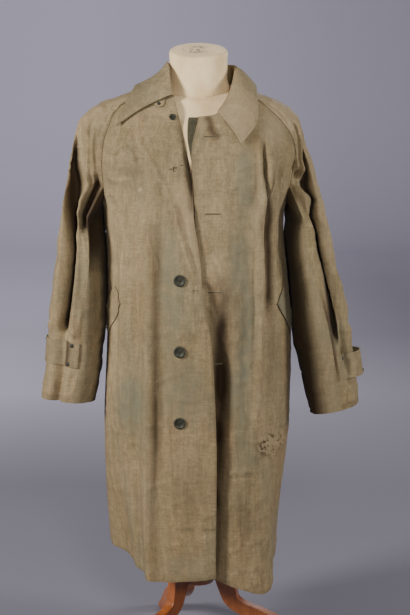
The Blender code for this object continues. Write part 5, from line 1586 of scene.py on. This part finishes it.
def stitch_row(solid, line, normals):
    """A row of short stitches along a line of points, which has its surface's normals."""
    line = np.asarray(line)
    lengths = np.concatenate([[0], np.cumsum(np.linalg.norm(np.diff(line, axis=0), axis=1))])
    starts = np.arange(0.001, lengths[-1] - STITCH["length"], STITCH["pitch"])
    for start in starts:
        at = start + STITCH["length"] * np.array((0, 0.5, 1.0))
        points = np.stack([np.interp(at, lengths, line[:, i]) for i in range(3)], axis=-1)
        normal = np.stack([np.interp(at, lengths, normals[:, i]) for i in range(3)], axis=-1)
        lift = np.array((-0.2, 1.0, -0.2))[:, None] * STITCH["lift"]
        tube_along(solid, points + normal * lift + np.array(STAND_AXIS), STITCH["radius"], 5)


def grid_lines(points, outward, rows=(), columns=()):
    """Chosen rows and columns of a sheet of points as lines, with the normals on its outer side."""
    normals = grid_normals(points) * outward
    for i in rows:
        yield points[i], normals[i]
    for i in columns:
        yield points[:, i], normals[:, i]


def sew(name, *sheets):
    """Rows of stitches along the chosen lines of sheets, as one piece."""
    solid = bmesh.new()
    for lines in sheets:
        for line, normals in lines:
            stitch_row(solid, line, normals)
    finish_piece(mesh_piece(name, solid, THREAD), "waxed_cotton")


def front_lines(side, steps, shares, **chosen):
    """Chosen lines of a front's fine sheet at steps and shares across it."""
    step, share = np.meshgrid(steps, shares, indexing="ij")
    return grid_lines(front_sheet(side, step, share), SIDES[side], **chosen)


# Rows of stitches on the fronts: shares across them, the raglan row's steps and the hem row's neighbours
EDGE_ROW = np.concatenate([[0.022], np.linspace(0.1, 0.9, 20), [0.975]])
RAGLAN_ROW = np.array((0.955, 0.962, 0.969))
RAGLAN_ROW_STEPS = (1.05, 2.88)
HEM_ROW = np.linspace(0.02, 0.99, 160)
HEM_ROW_STEPS = np.array((-0.002, 0.0, 0.002))


def make_front_stitches():
    steps = panel_steps()
    first, last = RAGLAN_ROW_STEPS
    raglan = steps[(steps >= first) & (steps <= last)]
    for side in SIDES:
        hem = HEM_TURN["depth"] / (UNDERARM_Z[side] - HEM_TURN["base_z"]) + HEM_ROW_STEPS
        sew(f"front_{side}_stitches", front_lines(side, steps[3:-6], EDGE_ROW, columns=(0,)),
            front_lines(side, raglan, RAGLAN_ROW, columns=(1,)), front_lines(side, hem, HEM_ROW, rows=(1,)))


def make_collar_stitches():
    last = COLLAR[-1][0]
    edge = collar_points(np.linspace(0.06, last - 0.06, 200), np.array((0.925, 0.94, 0.955)))
    sheets = [grid_lines(edge, -1, columns=(1,))]
    for middle in (0.07, last - 0.07):
        end = collar_points(middle + np.array((-0.02, 0.0, 0.02)), np.linspace(0.45, 0.95, 60))
        sheets.append(grid_lines(end, -1, rows=(1,)))
    sew("collar_stitches", *sheets)


def make_strap_stitches():
    for side, strap in STRAP.items():
        low, high = strap["stations"]
        angles = np.linspace(strap["angles"][0] + 1.5, strap["angles"][1] - 1.5, 90)
        points = strap_points(side, np.linspace(low + 0.07, high - 0.07, 12), angles)
        sew(f"cuff_strap_{side}_stitches", grid_lines(points, -SIDES[side], rows=(0, -1), columns=(0,)))


def make_welt_stitches():
    for side in SIDES:
        points = welt_points(side, np.linspace(0.05, 0.95, 60), np.linspace(0.12, 0.92, 12))
        sew(f"pocket_welt_{side}_stitches", grid_lines(points, SIDES[side], rows=(0, -1), columns=(0,)))


# Studs on the cuff straps: side, station, angle and radius
STUDS = (("right", 13.26, 16, 0.0046), ("right", 14.08, 20, 0.0046), ("right", 13.30, 96, 0.0040),
         ("left", 14.40, 70, 0.0044), ("left", 13.60, 22, 0.0044))
STUD_LIFT = 0.0002


def make_stud(name, seat, normal, radius):
    """A low round stud on a seat."""
    made = turned_piece(name, STUD_PROFILE, radius, radius, STUD_TURNS, STUD)
    lay_on(made, Vector(seat), Vector(normal), STUD_LIFT)
    finish_piece(made, "button_grey_green")


def make_studs():
    down, across = np.meshgrid(np.array((0.73, 0.68, 0.63)), np.array((-0.1, 0.0, 0.1)), indexing="ij")
    points = collar_tab_points(down, across)
    make_stud("collar_tab_stud", points[1, 1], grid_normals(points)[1, 1], COLLAR_TAB["stud"])
    for number, (side, station, turn, radius) in enumerate(STUDS, start=1):
        points = strap_points(side, station + np.array((-0.05, 0.0, 0.05)), turn + np.array((-2.0, 0.0, 2.0)))
        make_stud(f"strap_stud_{number}", points[1, 1], grid_normals(points)[1, 1] * -SIDES[side], radius)


# Dress form and stand

FORM_TURNS = 96


def form_ring(wide, front, back, front_tilt, back_tilt, z, middle_y=0.0, middle_x=0.0):
    turn = np.linspace(0, 2 * np.pi, FORM_TURNS, endpoint=False)
    deep = np.where(np.cos(turn) > 0, front, back)
    x = wide * np.sin(turn)
    y = -deep * np.cos(turn)
    tilt = np.where(y < 0, front_tilt, back_tilt)
    return np.stack([x + middle_x, y + middle_y, z + tilt * y], axis=-1)


def neck_ring(z, wide, deep):
    share = (z - NECK[1][0]) / (NECK[-1][0] - NECK[1][0])
    middle = NECK_Y[0] + (NECK_Y[1] - NECK_Y[0]) * share
    return form_ring(wide, deep, deep, NECK_TILT, NECK_TILT, z, middle, NECK_X)


def ring_solid(name, rings, finish):
    """A closed solid lofted through rings of points, listed from the bottom up."""
    solid = bmesh.new()
    rings = [ring + np.array(STAND_AXIS) for ring in rings]
    loops = [[solid.verts.new(point) for point in ring] for ring in rings]
    count = len(loops[0])
    for low, high in zip(loops, loops[1:]):
        for i in range(count):
            solid.faces.new((low[i], low[(i + 1) % count], high[(i + 1) % count], high[i]))
    for loop in (loops[0], loops[-1]):
        middle = solid.verts.new(sum((v.co for v in loop), Vector()) / count)
        for i in range(count):
            solid.faces.new((loop[i], loop[(i + 1) % count], middle))
    return mesh_piece(name, solid, finish)


def between(rings, count):
    """More rings on straight lines between the given ones."""
    filled = []
    for low, high in zip(rings, rings[1:]):
        for share in np.linspace(0, 1, count, endpoint=False):
            filled.append(low + (high - low) * share)
    return filled + [rings[-1]]


CAP_SHARES = ((1.0, 0.0), (0.985, 0.0012), (0.95, 0.0022), (0.85, 0.0030), (0.60, 0.0036), (0.30, 0.0038))


def make_form():
    rings = [form_ring(*row[1:], row[0]) for row in FORM[1:]]
    for station, depths in zip(FORM_SHOULDER_STATIONS, FORM_SHOULDER_DEPTHS):
        row = RAGLAN["left"][1 + station]
        rings.append(form_ring(row[3], *depths, row[4] - CLOTH - EASE))
    base_z, base_wide, base_deep = NECK[1]
    rings.append(neck_ring(base_z - SEAM_GAP, base_wide, base_deep))
    torso = ring_solid("form_torso_cover", between(rings, 4), CREAM)
    finish_piece(torso, "form_cover", "form_torso")
    heights = np.linspace(NECK[1][0], NECK[-2][0], 30)
    neck = []
    for z in heights:
        pulled = NECK_SEAM["depth"] * math.exp(-((z - NECK[1][0]) / NECK_SEAM["height"]) ** 2)
        neck.append(neck_ring(z, column(NECK, "wide", z) - pulled, column(NECK, "deep", z) - pulled))
    top_z, top_wide, top_deep = NECK[-2]
    rise = NECK[-1][0] - top_z
    for share, height in CAP_SHARES:
        neck.append(neck_ring(top_z + rise * height / CAP_SHARES[-1][1], top_wide * share, top_deep * share))
    finish_piece(ring_solid("form_neck_cover", neck, CREAM), "form_cover", "form_neck")


def smooth_line(points, steps):
    """More points on a smooth line through the given ones."""
    rows = tuple((i, *point) for i, point in enumerate(points))
    table = (("place", "reach", "height"),) + rows
    at = np.linspace(0, len(points) - 1, steps * (len(points) - 1) + 1)
    return list(zip(column(table, "reach", at), column(table, "height", at)))


def make_stand():
    """Turned column and hub keep their solids; the legs get rounded edges."""
    for name in ("stand_column", "stand_hub"):
        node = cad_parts[name]
        node.data.materials.clear()
        node.data.materials.append(WOOD)
    for number, angle in enumerate(LEG_ANGLES, start=1):
        outline = smooth_line(LEG_UPPER, 6) + smooth_line(LEG_LOWER, 6)
        solid = bmesh.new()
        half = LEG_THICKNESS / 2
        near = [solid.verts.new((r, -half, h)) for r, h in outline]
        face = solid.faces.new(near)
        grown = bmesh.ops.extrude_face_region(solid, geom=[face])
        for vertex in grown["geom"]:
            if isinstance(vertex, bmesh.types.BMVert):
                vertex.co.y = half
        made = mesh_piece(f"stand_leg_{number}_wood", solid, WOOD)
        rounded = made.modifiers.new("rounded", "BEVEL")
        rounded.width = LEG_ROUNDING["width"]
        rounded.segments = LEG_ROUNDING["segments"]
        rounded.limit_method = "ANGLE"
        rounded.angle_limit = LEG_ROUNDING["from_angle"]
        made.matrix_world = Matrix.Translation(STAND_AXIS) @ Matrix.Rotation(math.radians(angle), 4, "Z")
        finish_piece(made, "varnished_wood", f"stand_leg_{number}")


# Stage, light and camera

CAMERA = {"place": (0.017, -3.6, 1.3755), "pitch": 81.0, "lens": 36 * 1600 / 615}


# Floor and backdrop in one sheet of paper, with the backdrop far enough behind for views from all sides
STAGE = {"front": -9.0, "wall": 9.5, "bend": 2.0, "height": 7.0, "half": 20.0}


# Painted light and shade on the paper by its distance back: its lit side and its shaded side
PAPER = (
    ("y", "lit", "shaded"),
    (1.4, 0.19, 0.17),
    (2.8, 0.44, 0.20),
    (4.2, 0.33, 0.16),
    (6.2, 0.33, 0.20),
    (9.2, 0.43, 0.36),
)
PAPER_DEPTH = 10.0
PAPER_TURN = (-0.9, 1.1)
PAPER_TINT = (1.0, 0.96, 1.19)


def paper_ramp(tree, depth, place):
    """The paper's painted brightness by its depth, from one column of its table."""
    ramp = add(tree, "ShaderNodeValToRGB", Fac=depth)
    stops = ramp.color_ramp.elements
    for row in PAPER[2:-1]:
        stops.new(row[0] / PAPER_DEPTH)
    for stop, row in zip(stops, PAPER[1:]):
        stop.position = row[0] / PAPER_DEPTH
        stop.color = (*(row[place] * share for share in PAPER_TINT), 1)
    return ramp.outputs["Color"]


def make_stage():
    data = bpy.data.meshes.new("floor")
    profile = [(STAGE["front"], 0.0)]
    bend = STAGE["bend"]
    for turn in np.radians(np.linspace(0, 90, 25)):
        profile.append((STAGE["wall"] - bend + bend * math.sin(turn), bend - bend * math.cos(turn)))
    profile.append((STAGE["wall"], STAGE["height"]))
    solid = bmesh.new()
    rows = [[solid.verts.new((x, y, z)) for x in (-STAGE["half"], STAGE["half"])] for y, z in profile]
    for low, high in zip(rows, rows[1:]):
        solid.faces.new((low[0], low[1], high[1], high[0]))
    solid.to_mesh(data)
    solid.free()
    data.shade_smooth()
    made, tree, shader = new_material("studio_paper")
    axis = add(tree, "ShaderNodeSeparateXYZ", Vector=own_place(tree))
    depth = times(tree, axis.outputs["Y"], 1 / PAPER_DEPTH)
    lit, shaded = [paper_ramp(tree, depth, PAPER[0].index(name)) for name in ("lit", "shaded")]
    colour = mix(tree, remap(tree, axis.outputs["X"], *PAPER_TURN), lit, shaded)
    feed(tree, shader, Base_Color=colour, Roughness=0.9)
    new_object("floor", data, made)


# Soft round lights: name, place, aim, size, power and colour
LIGHTS = (
    ("key", (-3.2, -2.1, 2.3), (0.0, 0.0, 0.85), 1.1, 205.0, (1.0, 0.97, 0.93)),
    ("front", (0.5, -4.2, 2.3), (0.0, 0.0, 0.9), 0.8, 84.0, (1.0, 0.98, 0.95)),
    ("fill", (3.2, -0.9, 1.8), (0.0, 0.0, 0.8), 0.9, 74.0, (1.0, 0.98, 0.95)),
    ("back", (1.4, 3.6, 3.0), (0.0, 0.0, 0.9), 1.2, 38.0, (1.0, 0.98, 0.96)),
    ("backdrop", (-1.2, 4.6, 4.6), (-0.3, 8.0, 0.4), 2.4, 215.0, (1.0, 0.99, 1.0)),
)


def make_lights():
    for name, place, aim, size, power, colour in LIGHTS:
        data = bpy.data.lights.new(name, "AREA")
        data.shape = "DISK"
        data.size = size
        data.energy = power
        data.color = colour
        made = bpy.data.objects.new(name, data)
        made.location = place
        made.rotation_euler = (Vector(aim) - Vector(place)).to_track_quat("-Z", "Y").to_euler()
        bpy.context.scene.collection.objects.link(made)
    world = bpy.data.worlds.new("studio")
    world.use_nodes = True
    feed(world.node_tree, world.node_tree.nodes["Background"], Color=(0.62, 0.62, 0.68, 1), Strength=0.07)
    bpy.context.scene.world = world


def make_camera():
    data = bpy.data.cameras.new("camera")
    data.sensor_width = 36
    data.sensor_fit = "AUTO"
    data.lens = CAMERA["lens"]
    made = bpy.data.objects.new("camera", data)
    made.location = Vector(CAMERA["place"]) + Vector(STAND_AXIS)
    made.rotation_euler = (math.radians(CAMERA["pitch"]), 0, 0)
    bpy.context.scene.collection.objects.link(made)
    bpy.context.scene.camera = made


for make in (make_fronts, make_back, make_sleeves, make_collar, make_collar_tab, make_straps, make_welts,
             make_facing, make_buttons, make_buttonholes, make_loose_thread, make_front_stitches,
             make_collar_stitches, make_strap_stitches, make_welt_stitches, make_studs, make_form, make_stand,
             make_stage, make_lights, make_camera):
    make()

for name, row in SHEETS.items():
    sheet = dict(zip(SHEET_COLUMNS, row))
